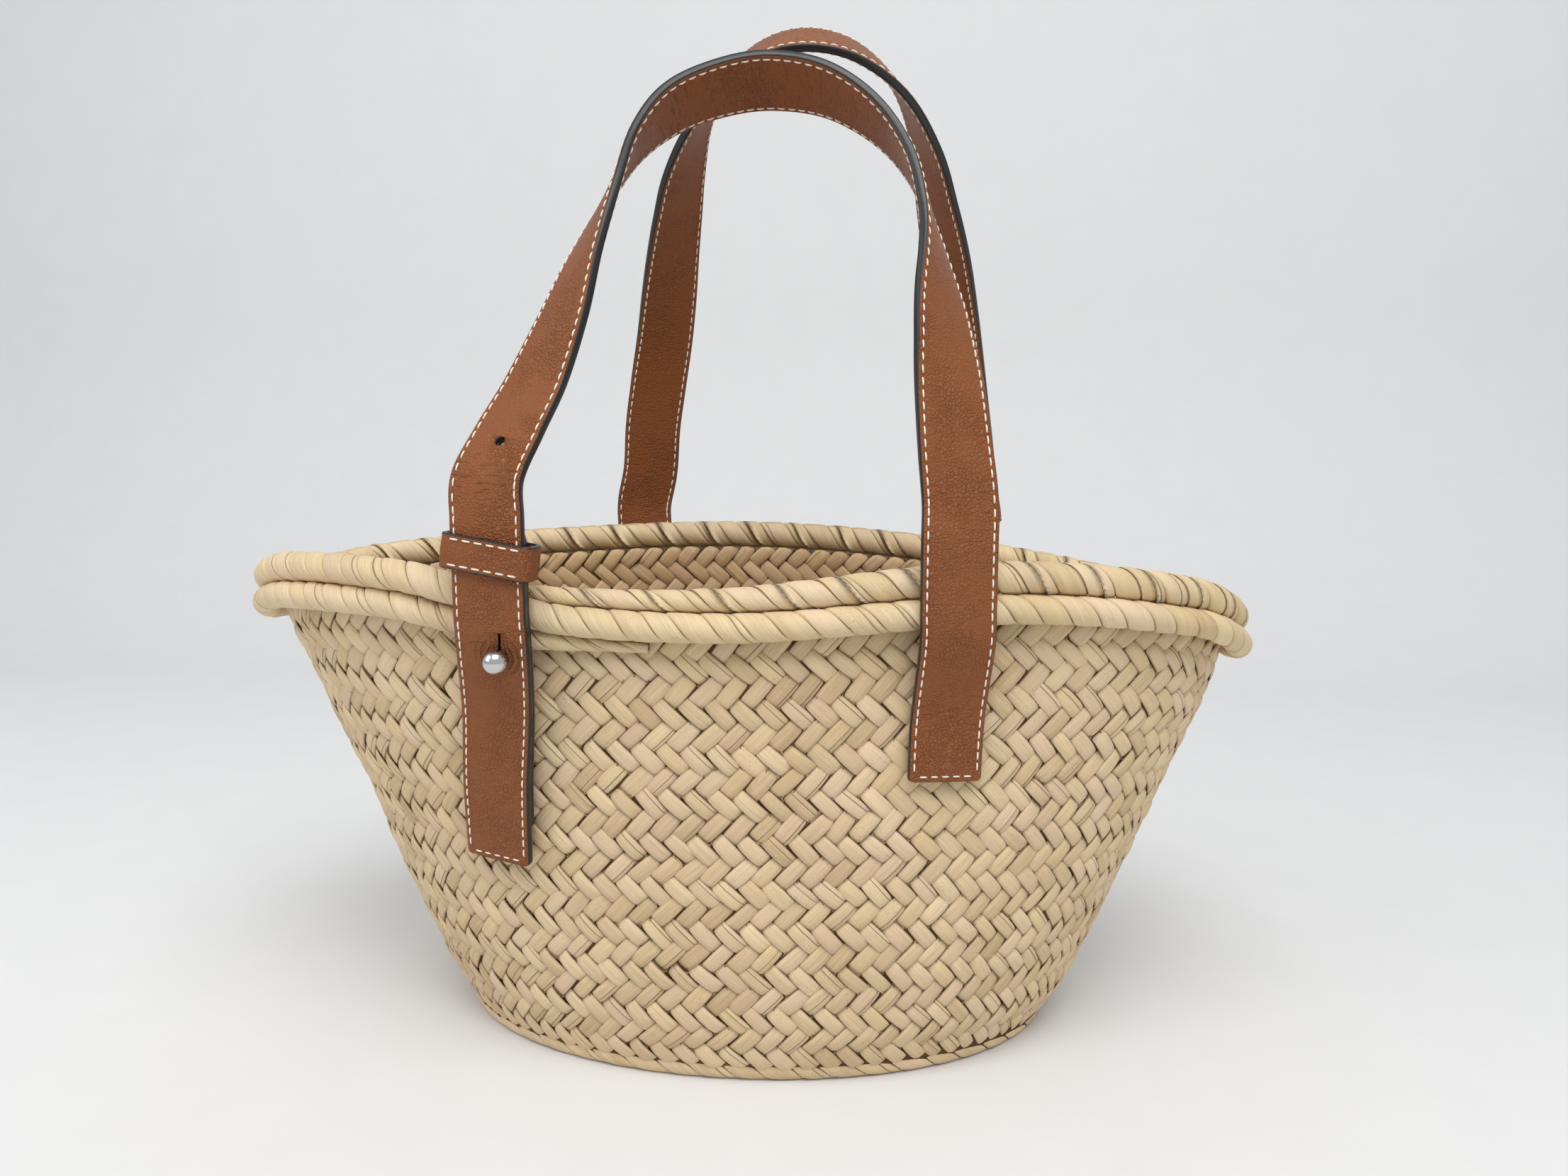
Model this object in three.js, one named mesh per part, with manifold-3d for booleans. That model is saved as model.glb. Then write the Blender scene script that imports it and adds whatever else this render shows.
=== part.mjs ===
// A small straw basket bag with two leather handles.
// Millimetres, +X to the right along the mouth, +Y to the back, +Z up.
// The origin is the centre of the oval bottom, on the surface that the bag stands on.

import * as THREE from 'three';
import { mergeVertices } from 'three/addons/utils/BufferGeometryUtils.js';
import Module from 'manifold-3d';

const wasm = await Module();
wasm.setup();

// Basket
const mouthLength = 361;
const mouthDepth = 154;
const wallHeight = 168;
const wallThickness = 3;
const bottomThickness = 3;
const footHeight = 9;
const footThickness = 5.5;

// Rim roll
const rollDiameter = 10.2;
const lowerRollDiameter = 9.2;
const seamAngle = 249;
const tailTurn = 15;
const courseDrop = 9.8;
const tailDrop = 7.4;
const courseOverhang = 2.5;
const startThinning = 0.45;
const tailThinning = 0.78;
const tipThinning = 0.4;

// Handles
const strapWidth = 24;
const strapThickness = 3.6;
const frontSpan = 143.5;
const frontShift = 3.2;
const frontReach = 80;
const rearSpan = 144;
const rearShift = 15.5;
const rearReach = 78;
const frontRise = 166;
const rearRise = 189;
const keeperLegSlant = 5.5;
const plainLegSlant = 3;
const longEndHeight = 80;
const shortEndHeight = 110;

// Tab, keeper and stud
const tabThickness = 2.2;
const tabTopHeight = 197;
const tabEndHeight = 92;
const tabTopCut = 7;
const tabEndCut = 2;
const strapEndCut = 1.4;
const keeperThickness = 1.6;
const keeperHeight = 11;
const keeperPlay = 1.5;
const keeperDrop = 14;
const keeperTilt = 8.5;
const studHeight = 152.5;
const studShift = 3;
const studDiameter = 7.8;
const studSeat = 2.9;
const neckDiameter = 3;
const spareHoleHeight = 217;
const spareHoleDiameter = 3.4;
const slitLength = 6;
const slitWidth = 0.8;

// Clearances
const gap = 0.35;
const seatGap = 0.7;
const footLip = 0.8;
const strapSeat = 1.2;
const overRollGap = 0.7;

const degree = Math.PI / 180;
const aroundSteps = 72;
const rollSides = 10;
const rollStepAngle = 4.8;
const pathSteps = 66;

// The basket's outline from the bottom up. Height is a share of the wall's own height,
// length and depth are shares of half the mouth, shift is a share of half the mouth's
// length, square is how much fuller than an ellipse the oval is, and sway is how far the
// level follows the wave of the mouth.
const outline = [
  { height: 0.0, length: 0.592, depth: 0.87, shift: 0.015, square: 2.05, sway: 0 },
  { height: 0.03, length: 0.627, depth: 0.925, shift: 0.015, square: 2.05, sway: 0 },
  { height: 0.106, length: 0.672, depth: 0.975, shift: 0.02, square: 2.1, sway: 0.03 },
  { height: 0.265, length: 0.738, depth: 1.01, shift: 0.017, square: 2.15, sway: 0.15 },
  { height: 0.4, length: 0.789, depth: 1.02, shift: 0.015, square: 2.15, sway: 0.3 },
  { height: 0.53, length: 0.833, depth: 1.03, shift: 0.016, square: 2.15, sway: 0.45 },
  { height: 0.66, length: 0.885, depth: 1.03, shift: 0.008, square: 2.1, sway: 0.6 },
  { height: 0.795, length: 0.934, depth: 1.02, shift: 0.004, square: 2.1, sway: 0.78 },
  { height: 0.9, length: 0.969, depth: 1.01, shift: -0.005, square: 2.1, sway: 0.9 },
  { height: 1.0, length: 0.993, depth: 1.0, shift: -0.015, square: 2.05, sway: 1 },
];

// The mouth's wave, a row for each 30 degrees from the right tip round the back.
// Rise is a share of the wall's height and out a share of half the mouth's depth.
const mouthWave = [
  { rise: 0.869, out: 1.0 },
  { rise: 0.905, out: 1.0 },
  { rise: 0.963, out: 0.98 },
  { rise: 1.003, out: 0.96 },
  { rise: 0.988, out: 0.96 },
  { rise: 0.961, out: 0.98 },
  { rise: 0.929, out: 1.0 },
  { rise: 0.994, out: 1.03 },
  { rise: 1.004, out: 1.08 },
  { rise: 0.978, out: 1.03 },
  { rise: 1.009, out: 0.99 },
  { rise: 0.961, out: 1.0 },
];

// The free stretch of each handle, from the leg with the keeper over the arch to the plain
// leg, seen from outside. Across is a share of half the span, out a share of the reach from
// the middle plane, rise a share of the arch's rise over the wall, turn the angle of the
// width in degrees from across to the near side, and lean the tilt of the near edge.
const frontArch = [
  { across: -1, out: 1.15, rise: 0.235, turn: 10, lean: 0 },
  { across: -0.93, out: 1.055, rise: 0.32, turn: 15, lean: 0 },
  { across: -0.845, out: 0.95, rise: 0.41, turn: 23, lean: 0 },
  { across: -0.755, out: 0.845, rise: 0.53, turn: 34, lean: 0.1 },
  { across: -0.675, out: 0.743, rise: 0.656, turn: 50, lean: 0.15 },
  { across: -0.575, out: 0.625, rise: 0.783, turn: 66, lean: 0.2 },
  { across: -0.465, out: 0.556, rise: 0.883, turn: 79, lean: 0.3 },
  { across: -0.305, out: 0.5, rise: 0.953, turn: 88, lean: 0.45 },
  { across: -0.075, out: 0.456, rise: 0.994, turn: 90, lean: 0.55 },
  { across: 0.15, out: 0.4375, rise: 1.006, turn: 90, lean: 0.6 },
  { across: 0.4, out: 0.4625, rise: 0.982, turn: 91, lean: 0.55 },
  { across: 0.625, out: 0.5125, rise: 0.916, turn: 93, lean: 0.45 },
  { across: 0.78, out: 0.5875, rise: 0.825, turn: 95, lean: 0.3 },
  { across: 0.855, out: 0.6875, rise: 0.723, turn: 100, lean: 0.2 },
  { across: 0.89, out: 0.75, rise: 0.64, turn: 112, lean: 0.15 },
  { across: 0.91, out: 0.8125, rise: 0.566, turn: 127, lean: 0.1 },
  { across: 0.93, out: 0.8825, rise: 0.485, turn: 140, lean: 0.1 },
  { across: 0.95, out: 0.9375, rise: 0.4, turn: 151, lean: 0 },
  { across: 0.975, out: 0.985, rise: 0.29, turn: 160, lean: 0 },
  { across: 1.0, out: 1.0, rise: 0.19, turn: 167, lean: 0 },
];

const rearArch = [
  { across: -1.0, out: 1.045, rise: 0.18, turn: 9, lean: 0 },
  { across: -0.985, out: 1.02, rise: 0.235, turn: 11, lean: 0 },
  { across: -0.945, out: 0.965, rise: 0.34, turn: 16, lean: 0 },
  { across: -0.905, out: 0.885, rise: 0.445, turn: 23, lean: 0 },
  { across: -0.865, out: 0.78, rise: 0.55, turn: 31, lean: 0.1 },
  { across: -0.825, out: 0.65, rise: 0.645, turn: 42, lean: 0.15 },
  { across: -0.77, out: 0.5, rise: 0.735, turn: 53, lean: 0.2 },
  { across: -0.7, out: 0.33, rise: 0.835, turn: 66, lean: 0.3 },
  { across: -0.56, out: 0.185, rise: 0.93, turn: 79, lean: 0.4 },
  { across: -0.33, out: 0.095, rise: 0.995, turn: 88, lean: 0.5 },
  { across: -0.07, out: 0.065, rise: 1.015, turn: 90, lean: 0.58 },
  { across: 0.175, out: 0.1, rise: 0.995, turn: 90, lean: 0.55 },
  { across: 0.385, out: 0.19, rise: 0.94, turn: 95, lean: 0.45 },
  { across: 0.525, out: 0.31, rise: 0.87, turn: 106, lean: 0.3 },
  { across: 0.61, out: 0.43, rise: 0.8, turn: 120, lean: 0.2 },
  { across: 0.665, out: 0.54, rise: 0.73, turn: 130, lean: 0.15 },
  { across: 0.72, out: 0.66, rise: 0.65, turn: 140, lean: 0.1 },
  { across: 0.765, out: 0.755, rise: 0.565, turn: 150, lean: 0 },
  { across: 0.815, out: 0.855, rise: 0.475, turn: 160, lean: 0 },
  { across: 0.87, out: 0.925, rise: 0.38, turn: 168, lean: 0 },
  { across: 0.92, out: 0.98, rise: 0.28, turn: 172, lean: 0 },
  { across: 0.95, out: 1.03, rise: 0.18, turn: 172, lean: 0 },
];

const mix = (a, b, share) => a + (b - a) * share;

function ease(from, to, value) {
  const share = Math.min(Math.max((value - from) / (to - from), 0), 1);
  return share * share * (3 - 2 * share);
}

function curved(before, from, to, after, share) {
  const slopeFrom = (to - before) / 2;
  const slopeTo = (after - from) / 2;
  const rest = share - 1;
  return (1 + 2 * share) * rest * rest * from + share * rest * rest * slopeFrom
    + share * share * (3 - 2 * share) * to + share * share * rest * slopeTo;
}

function wave(angle, column) {
  const rows = mouthWave.length;
  const place = (((angle / 360) % 1) + 1) % 1 * rows;
  const row = Math.floor(place);
  const at = (step) => mouthWave[(row + step + rows) % rows][column];
  return curved(at(-1), at(0), at(1), at(2), place - row);
}

function outlineAt(share, column) {
  const last = outline.length - 1;
  let row = 0;
  while (row < last - 1 && outline[row + 1].height < share) row += 1;
  const from = outline[row];
  const to = outline[row + 1];
  return mix(from[column], to[column], (share - from.height) / (to.height - from.height));
}

// A point of the outer wall at an angle round the mouth and a share of the height,
// moved outwards by a length along the level outline's own normal.
function wallPoint(angle, share, outwards = 0) {
  const halfLength = mouthLength / 2;
  const power = 2 / outlineAt(share, 'square');
  const sway = outlineAt(share, 'sway');
  const oval = (turn) => {
    const c = Math.cos(turn * degree);
    const s = Math.sin(turn * degree);
    const out = mix(1, wave(turn, 'out'), sway);
    return new THREE.Vector2(
      halfLength * (outlineAt(share, 'shift')
        + outlineAt(share, 'length') * Math.sign(c) * Math.abs(c) ** power),
      (mouthDepth / 2) * outlineAt(share, 'depth') * out * Math.sign(s) * Math.abs(s) ** power,
    );
  };
  const here = oval(angle);
  const along = oval(angle + 0.5).sub(oval(angle - 0.5)).normalize();
  const height = wallHeight * share * mix(1, wave(angle, 'rise'), sway);
  return new THREE.Vector3(here.x + along.y * outwards, here.y - along.x * outwards, height);
}

function search(low, high, test) {
  let from = low;
  let to = high;
  for (let step = 0; step < 30; step += 1) {
    const middle = (from + to) / 2;
    if (test(middle)) from = middle;
    else to = middle;
  }
  return (from + to) / 2;
}

// The place on the outer wall with a given X and height, on the front or the back.
function wallPlace(side, x, height) {
  let share = height / wallHeight;
  let angle = 0;
  for (let round = 0; round < 6; round += 1) {
    const level = share;
    angle = side < 0
      ? search(180, 360, (turn) => wallPoint(turn, level).x < x)
      : search(0, 180, (turn) => wallPoint(turn, level).x > x);
    share = search(0, 1, (trial) => wallPoint(angle, trial).z < height);
  }
  return { angle, share };
}

function solidFromFaces(points, faces) {
  const geometry = new THREE.BufferGeometry();
  geometry.setAttribute('position', new THREE.Float32BufferAttribute(points.flatMap((p) => p.toArray()), 3));
  let volume = 0;
  for (const [a, b, c] of faces) volume += points[a].dot(points[b].clone().cross(points[c]));
  const outward = volume > 0 ? faces : faces.map(([a, b, c]) => [a, c, b]);
  geometry.setIndex(outward.flat());
  return geometry;
}

// Skins a list of rings of equal count, closed by a fan at each end or joined end to end.
// Each quad is cut along its shorter diagonal, so that layers on each other stay parallel.
function loft(rings, joined = false) {
  const count = rings[0].length;
  const points = rings.flat();
  const faces = [];
  const bands = joined ? rings.length : rings.length - 1;
  for (let band = 0; band < bands; band += 1) {
    const low = band * count;
    const high = ((band + 1) % rings.length) * count;
    for (let side = 0; side < count; side += 1) {
      const next = (side + 1) % count;
      const rising = points[low + side].distanceTo(points[high + next]);
      const falling = points[low + next].distanceTo(points[high + side]);
      if (rising < falling) {
        faces.push([low + side, low + next, high + next], [low + side, high + next, high + side]);
      } else {
        faces.push([low + side, low + next, high + side], [low + next, high + next, high + side]);
      }
    }
  }
  if (!joined) {
    for (const [ring, flip] of [[0, true], [rings.length - 1, false]]) {
      const centre = rings[ring].reduce((sum, p) => sum.add(p), new THREE.Vector3()).divideScalar(count);
      const hub = points.push(centre) - 1;
      for (let side = 0; side < count; side += 1) {
        const from = ring * count + side;
        const to = ring * count + ((side + 1) % count);
        faces.push(flip ? [hub, to, from] : [hub, from, to]);
      }
    }
  }
  return solidFromFaces(points, faces);
}

function toManifold(geometry) {
  const bare = geometry.clone();
  bare.deleteAttribute('normal');
  bare.deleteAttribute('uv');
  const merged = mergeVertices(bare, 1e-4);
  return new wasm.Manifold(new wasm.Mesh({
    numProp: 3,
    vertProperties: new Float32Array(merged.attributes.position.array),
    triVerts: new Uint32Array(merged.index.array),
  }));
}

function fromManifold(solid) {
  const mesh = solid.getMesh();
  const geometry = new THREE.BufferGeometry();
  geometry.setAttribute('position', new THREE.BufferAttribute(mesh.vertProperties, 3));
  geometry.setIndex(new THREE.BufferAttribute(mesh.triVerts, 1));
  return geometry;
}

// Basket

const footShare = (footHeight + gap) / wallHeight;
const aroundAngles = Array.from({ length: aroundSteps }, (_, step) => (360 * step) / aroundSteps);

function wallRing(share, outwards, height) {
  return aroundAngles.map((angle) => {
    const point = wallPoint(angle, share, outwards);
    if (height !== undefined) point.z = height;
    return point;
  });
}

// The wall steps in over the foot braid, so that the braid sits under its edge.
function basketBody() {
  const footInset = -(footThickness + gap);
  const ledge = footHeight + gap;
  const levels = outline.map((row) => row.height).filter((height) => height > footShare * 1.3);
  const rings = [
    wallRing(footShare / 2, footInset, 0),
    wallRing(footShare / 2, footInset, ledge),
    wallRing(footShare, -footLip, ledge),
    ...levels.map((share) => wallRing(share, 0)),
    ...levels.slice().reverse().map((share) => wallRing(share, -wallThickness)),
    wallRing(footShare, -footLip - wallThickness, ledge + wallThickness),
    wallRing(footShare / 2, footInset - wallThickness, ledge + wallThickness),
    wallRing(footShare / 2, footInset - wallThickness, bottomThickness),
  ];
  return loft(rings);
}

function footBraid() {
  const outer = footShare / 2;
  const corner = footThickness * 0.28;
  const profile = [
    { out: -footThickness, up: 0 },
    { out: -corner, up: 0 },
    { out: 0, up: footHeight * 0.3 },
    { out: 0, up: footHeight * 0.7 },
    { out: -corner, up: footHeight },
    { out: -footThickness, up: footHeight },
  ];
  return loft(profile.map(({ out, up }) => wallRing(outer, out, up)), true);
}

// Rim roll: one roll that goes round twice. It starts thin at the seam on top of the wall,
// steps down outside the wall where it comes round again, and tapers out under itself.

const rollSeat = rollDiameter / 2 + gap;
const rollTurn = 2 * 360 + tailTurn;

// From and to which angle past the seam each change of the roll goes.
const rollChanges = {
  grow: [-6, 50],
  stepOut: [332, 351],
  stepDown: [346, 368],
  stepUnder: [704, 724],
  taper: [718, rollTurn],
};

function rollCentre(turn) {
  const passed = turn - seamAngle;
  const grown = ease(...rollChanges.grow, passed);
  const outside = ease(...rollChanges.stepOut, passed);
  const second = ease(...rollChanges.stepDown, passed);
  const third = ease(...rollChanges.stepUnder, passed);
  const tapered = ease(...rollChanges.taper, passed);
  const upper = rollDiameter * mix(startThinning, 1, grown);
  const lower = mix(upper, lowerRollDiameter, second);
  const diameter = lower * mix(1, tailThinning, third) * mix(1, tipThinning, tapered);
  const wallTop = wallPoint(turn, 1).z;
  const height = wallTop + mix(upper / 2 + gap, rollSeat - courseDrop, second) - tailDrop * third;
  const out = mix(courseOverhang, diameter / 2 + seatGap, outside);
  const centre = wallPoint(turn, Math.min(height / wallTop, 1), out);
  centre.z = height;
  return { centre, diameter };
}

function rimRoll() {
  const steps = Math.round(rollTurn / rollStepAngle);
  const rings = [];
  for (let step = 0; step <= steps; step += 1) {
    const turn = seamAngle + (rollTurn * step) / steps;
    const { centre, diameter } = rollCentre(turn);
    const along = rollCentre(turn + 0.5).centre.sub(rollCentre(turn - 0.5).centre).normalize();
    const out = new THREE.Vector3(along.y, -along.x, 0).normalize();
    const up = new THREE.Vector3().crossVectors(out, along);
    rings.push(Array.from({ length: rollSides }, (_, side) => {
      const angle = (2 * Math.PI * side) / rollSides;
      return centre.clone()
        .addScaledVector(out, (diameter / 2) * Math.cos(angle))
        .addScaledVector(up, (diameter / 2) * Math.sin(angle));
    }));
  }
  return loft(rings);
}

// Handles: each path is a list of stations with a place, the turn of the width and its lean.

const tabStandoff = gap + tabThickness;

// Heights of the legs' stations over the wall's top: the leg comes off the wall, runs up
// under the rolls and passes straight over them.
const legLeave = 36;
const legUnderRoll = -14;
const tabLegHeights = [legUnderRoll, -3, 9, 18, 27];
const plainLegHeights = [legUnderRoll, -3, 8, 19];
const legRelax = 0.15;
const tabLegTaut = 0.45;

// How far the rim roll stands out from the middle plane at an X.
function rollFace(side, x) {
  const { angle } = wallPlace(side, x, wallHeight * 0.9);
  const centre = wallPoint(angle, 0.97, lowerRollDiameter + seatGap);
  return { out: Math.abs(centre.y), top: wallPoint(angle, 1).z };
}

function wallTurn(side, x, height) {
  const { angle, share } = wallPlace(side, x, height);
  const along = wallPoint(angle + 2, share).sub(wallPoint(angle - 2, share));
  return Math.atan2(Math.abs(along.y), Math.abs(along.x)) / degree;
}

// The stations of one leg, from its end up to just over the rim, seen from outside.
function legStations(side, x, slant, endHeight, hasTab) {
  const standoff = strapSeat + strapThickness / 2 + (hasTab ? tabStandoff : 0);
  const face = rollFace(side, x);
  const overRoll = face.out + overRollGap + strapThickness / 2 + (hasTab ? tabStandoff + keeperThickness + gap : 0);
  const stations = [];
  const leave = face.top - legLeave;
  const lowerX = (height) => x + side * slant * ease(face.top, endHeight, height);
  for (const height of [endHeight, mix(endHeight, leave, 0.5), leave]) {
    const { angle, share } = wallPlace(side, lowerX(height), height);
    const place = wallPoint(angle, share, standoff);
    const turn = wallTurn(side, lowerX(height), height);
    const chord = mix(stations[0]?.out ?? 0, overRoll, (height - endHeight) / (face.top + legUnderRoll - endHeight));
    const pull = hasTab && height > endHeight ? Math.max(chord - Math.abs(place.y), 0) * tabLegTaut : 0;
    stations.push({ x: lowerX(height), out: Math.abs(place.y) + pull, height, turn });
  }
  const slope = wallTurn(side, x, face.top - 10);
  for (const over of hasTab ? tabLegHeights : plainLegHeights) {
    const relax = over === legUnderRoll ? (overRoll - stations[2].out) * legRelax : 0;
    stations.push({ x, out: overRoll - relax, height: face.top + over, turn: slope });
  }
  return stations;
}

function strapPath({ side, span, shift, reach, rise, arch }) {
  const mirror = side < 0 ? 1 : -1;
  const keeperX = mirror * (-span / 2) + shift;
  const plainX = mirror * (span / 2) + shift;
  const station = (x, out, height, turn, lean) => {
    const across = mirror * Math.cos(turn * degree);
    const width = new THREE.Vector3(across, -mirror * Math.sin(turn * degree), lean);
    return { place: new THREE.Vector3(x, side * out, height), width };
  };
  const keeperLeg = legStations(side, keeperX, keeperLegSlant, longEndHeight, true)
    .map((row) => station(row.x, row.out, row.height, row.turn, 0));
  const plainLeg = legStations(side, plainX, plainLegSlant, shortEndHeight, false).reverse()
    .map((row) => station(row.x, row.out, row.height, 180 - row.turn, 0));
  const free = arch.map((row) => station(
    mirror * row.across * (span / 2) + shift,
    row.out * reach,
    wallHeight + row.rise * rise,
    row.turn,
    row.lean,
  ));
  return [...keeperLeg, ...free, ...plainLeg];
}

function pathAt(path, share) {
  const place = Math.min(Math.max(share, 0), 1) * (path.length - 1);
  const row = Math.min(Math.floor(place), path.length - 2);
  const at = (step) => path[Math.min(Math.max(row + step, 0), path.length - 1)];
  const blend = (key, axis) => {
    const [before, from, to, after] = [-1, 0, 1, 2].map((step) => at(step)[key][axis]);
    return curved(before, from, to, after, place - row);
  };
  return {
    place: new THREE.Vector3(blend('place', 'x'), blend('place', 'y'), blend('place', 'z')),
    width: new THREE.Vector3(blend('width', 'x'), blend('width', 'y'), blend('width', 'z')),
  };
}

// The place, the direction along, the width direction and the outer face's normal.
function pathFrame(path, share) {
  const { place, width } = pathAt(path, share);
  const along = pathAt(path, share + 0.002).place.sub(pathAt(path, share - 0.002).place).normalize();
  width.addScaledVector(along, -width.dot(along)).normalize();
  const normal = new THREE.Vector3().crossVectors(width, along);
  return { place, along, width, normal };
}

function basisAt(place, first, second) {
  return new THREE.Matrix4().makeBasis(first, second, first.clone().cross(second)).setPosition(place);
}

// The stud stands a little off the middle of the strap, towards the handle's other leg.
function studFrame(path) {
  const frame = pathFrame(path, shareAtHeight(path, studHeight));
  frame.place.addScaledVector(frame.width, studShift);
  return frame;
}

function shareAtHeight(path, height) {
  return search(0, 0.45, (share) => pathAt(path, share).place.z < height);
}

// A ribbon's section has its two long edges eased.
function ribbonRing(frame, halfWidth, thickness, lift) {
  const half = thickness / 2;
  const round = Math.min(half * 0.5, halfWidth * 0.4);
  const flat = halfWidth - round;
  const side = half - round;
  const corners = [
    [halfWidth, side], [flat, half], [-flat, half], [-halfWidth, side],
    [-halfWidth, -side], [-flat, -half], [flat, -half], [halfWidth, -side],
  ];
  return corners.map(([across, out]) => frame.place.clone()
    .addScaledVector(frame.width, across)
    .addScaledVector(frame.normal, out + lift));
}

// All ribbons on a path are cut at the same stations, so that layers lie on each other.
function ribbon(path, from, to, { width, thickness, lift = 0, startCut = 0, endCut = 0 }) {
  const cutLength = 0.35 / pathSteps;
  const shares = [from, from + cutLength];
  for (let step = 1; step < pathSteps; step += 1) {
    const share = step / pathSteps;
    if (share > from + 2 * cutLength && share < to - 2 * cutLength) shares.push(share);
  }
  shares.push(to - cutLength, to);
  const rings = shares.map((share, row) => {
    const cut = row === 0 ? startCut : row === shares.length - 1 ? endCut : 0;
    return ribbonRing(pathFrame(path, share), width / 2 - cut, thickness, lift);
  });
  return loft(rings);
}

// A cutter with the stud's keyhole or a plain round hole, through the strap at a height.
function holeCutter(frame, diameter, slit) {
  const depth = strapThickness * 3;
  const outlineShape = new THREE.Shape();
  const radius = diameter / 2;
  if (slit) {
    const opening = Math.asin(slitWidth / 2 / radius);
    outlineShape.absarc(0, 0, radius, Math.PI / 2 + opening, Math.PI / 2 - opening + 2 * Math.PI, false);
    outlineShape.lineTo(slitWidth / 2, radius + slitLength);
    outlineShape.lineTo(-slitWidth / 2, radius + slitLength);
  } else {
    outlineShape.absarc(0, 0, radius, 0, 2 * Math.PI, false);
  }
  const cutter = new THREE.ExtrudeGeometry(outlineShape, { depth, bevelEnabled: false, curveSegments: 12 });
  cutter.translate(0, 0, -depth / 2);
  cutter.applyMatrix4(basisAt(frame.place, frame.width, frame.along));
  return toManifold(cutter);
}

function strap(path) {
  const plain = ribbon(path, 0, 1, {
    width: strapWidth, thickness: strapThickness, startCut: strapEndCut, endCut: strapEndCut,
  });
  const keyhole = holeCutter(studFrame(path), neckDiameter + 2 * gap, true);
  const spare = holeCutter(pathFrame(path, shareAtHeight(path, spareHoleHeight)), spareHoleDiameter, false);
  return fromManifold(toManifold(plain).subtract(keyhole).subtract(spare));
}

function anchorTab(path) {
  const lift = -(strapThickness / 2 + gap + tabThickness / 2);
  const low = shareAtHeight(path, tabEndHeight);
  const high = shareAtHeight(path, tabTopHeight);
  return ribbon(path, low, high, {
    width: strapWidth, thickness: tabThickness, lift, startCut: tabEndCut, endCut: tabTopCut,
  });
}

function keeper(path) {
  const frame = pathFrame(path, shareAtHeight(path, tabTopHeight - keeperDrop));
  const innerWidth = strapWidth + 2 * keeperPlay;
  const innerDepth = strapThickness + tabThickness + 3.6 * gap;
  const band = new THREE.Shape();
  const rounded = (shape, width, depth, radius) => {
    shape.moveTo(width / 2 - radius, -depth / 2);
    shape.absarc(width / 2 - radius, radius - depth / 2, radius, -Math.PI / 2, 0, false);
    shape.absarc(width / 2 - radius, depth / 2 - radius, radius, 0, Math.PI / 2, false);
    shape.absarc(radius - width / 2, depth / 2 - radius, radius, Math.PI / 2, Math.PI, false);
    shape.absarc(radius - width / 2, radius - depth / 2, radius, Math.PI, Math.PI * 1.5, false);
    shape.closePath();
  };
  const outerRadius = 2.6;
  rounded(band, innerWidth + 2 * keeperThickness, innerDepth + 2 * keeperThickness, outerRadius);
  const hole = new THREE.Path();
  rounded(hole, innerWidth, innerDepth, outerRadius - keeperThickness);
  band.holes.push(hole);
  const loop = new THREE.ExtrudeGeometry(band, {
    depth: keeperHeight, bevelEnabled: false, curveSegments: 4,
  });
  loop.translate(0, -(tabThickness + gap) / 2, -keeperHeight / 2);
  loop.rotateY(-keeperTilt * degree);
  loop.applyMatrix4(basisAt(frame.place, frame.width, frame.normal));
  return loop;
}

function stud(path) {
  const frame = studFrame(path);
  const radius = studDiameter / 2;
  const neck = neckDiameter / 2;
  const neckLength = strapThickness + gap;
  const foot = Math.sqrt(radius * radius - studSeat * studSeat);
  const profile = [[0, 0], [neck, 0], [neck, neckLength]].map(([x, y]) => new THREE.Vector2(x, y));
  const arcSteps = 9;
  const start = -Math.atan2(studSeat, foot);
  for (let step = 0; step <= arcSteps; step += 1) {
    const angle = mix(start, Math.PI / 2, step / arcSteps);
    profile.push(new THREE.Vector2(
      step === arcSteps ? 0 : radius * Math.cos(angle),
      neckLength + studSeat + radius * Math.sin(angle),
    ));
  }
  const ball = new THREE.LatheGeometry(profile, 16);
  const base = frame.place.clone().addScaledVector(frame.normal, -strapThickness / 2);
  ball.applyMatrix4(basisAt(base, frame.width, frame.normal));
  return ball;
}

// Materials

const straw = (color) => new THREE.MeshStandardMaterial({ color, roughness: 0.78, metalness: 0 });
const leather = () => new THREE.MeshStandardMaterial({ color: 0x9a6244, roughness: 0.5, metalness: 0 });
const chrome = () => new THREE.MeshStandardMaterial({ color: 0xd8d8da, roughness: 0.12, metalness: 1 });

const bag = new THREE.Group();

function add(name, geometry, material) {
  const flat = geometry.index ? geometry.toNonIndexed() : geometry;
  flat.computeVertexNormals();
  const mesh = new THREE.Mesh(flat, material);
  mesh.name = name;
  bag.add(mesh);
}

add('basket_body', basketBody(), straw(0xd6bc96));
add('foot_braid', footBraid(), straw(0xd2b892));
add('rim_roll', rimRoll(), straw(0xe1cda0));

const handles = [
  {
    name: 'front', side: -1, span: frontSpan, shift: frontShift,
    reach: frontReach, rise: frontRise, arch: frontArch,
  },
  {
    name: 'rear', side: 1, span: rearSpan, shift: rearShift,
    reach: rearReach, rise: rearRise, arch: rearArch,
  },
];

for (const handle of handles) {
  const path = strapPath(handle);
  add(`${handle.name}_strap`, strap(path), leather());
  add(`${handle.name}_anchor_tab`, anchorTab(path), leather());
  add(`${handle.name}_keeper`, keeper(path), leather());
  add(`${handle.name}_stud`, stud(path), chrome());
}

export default bag;
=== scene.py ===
"""A small straw basket bag: plaited palm, a wrapped rim and two stitched leather handles."""

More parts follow.
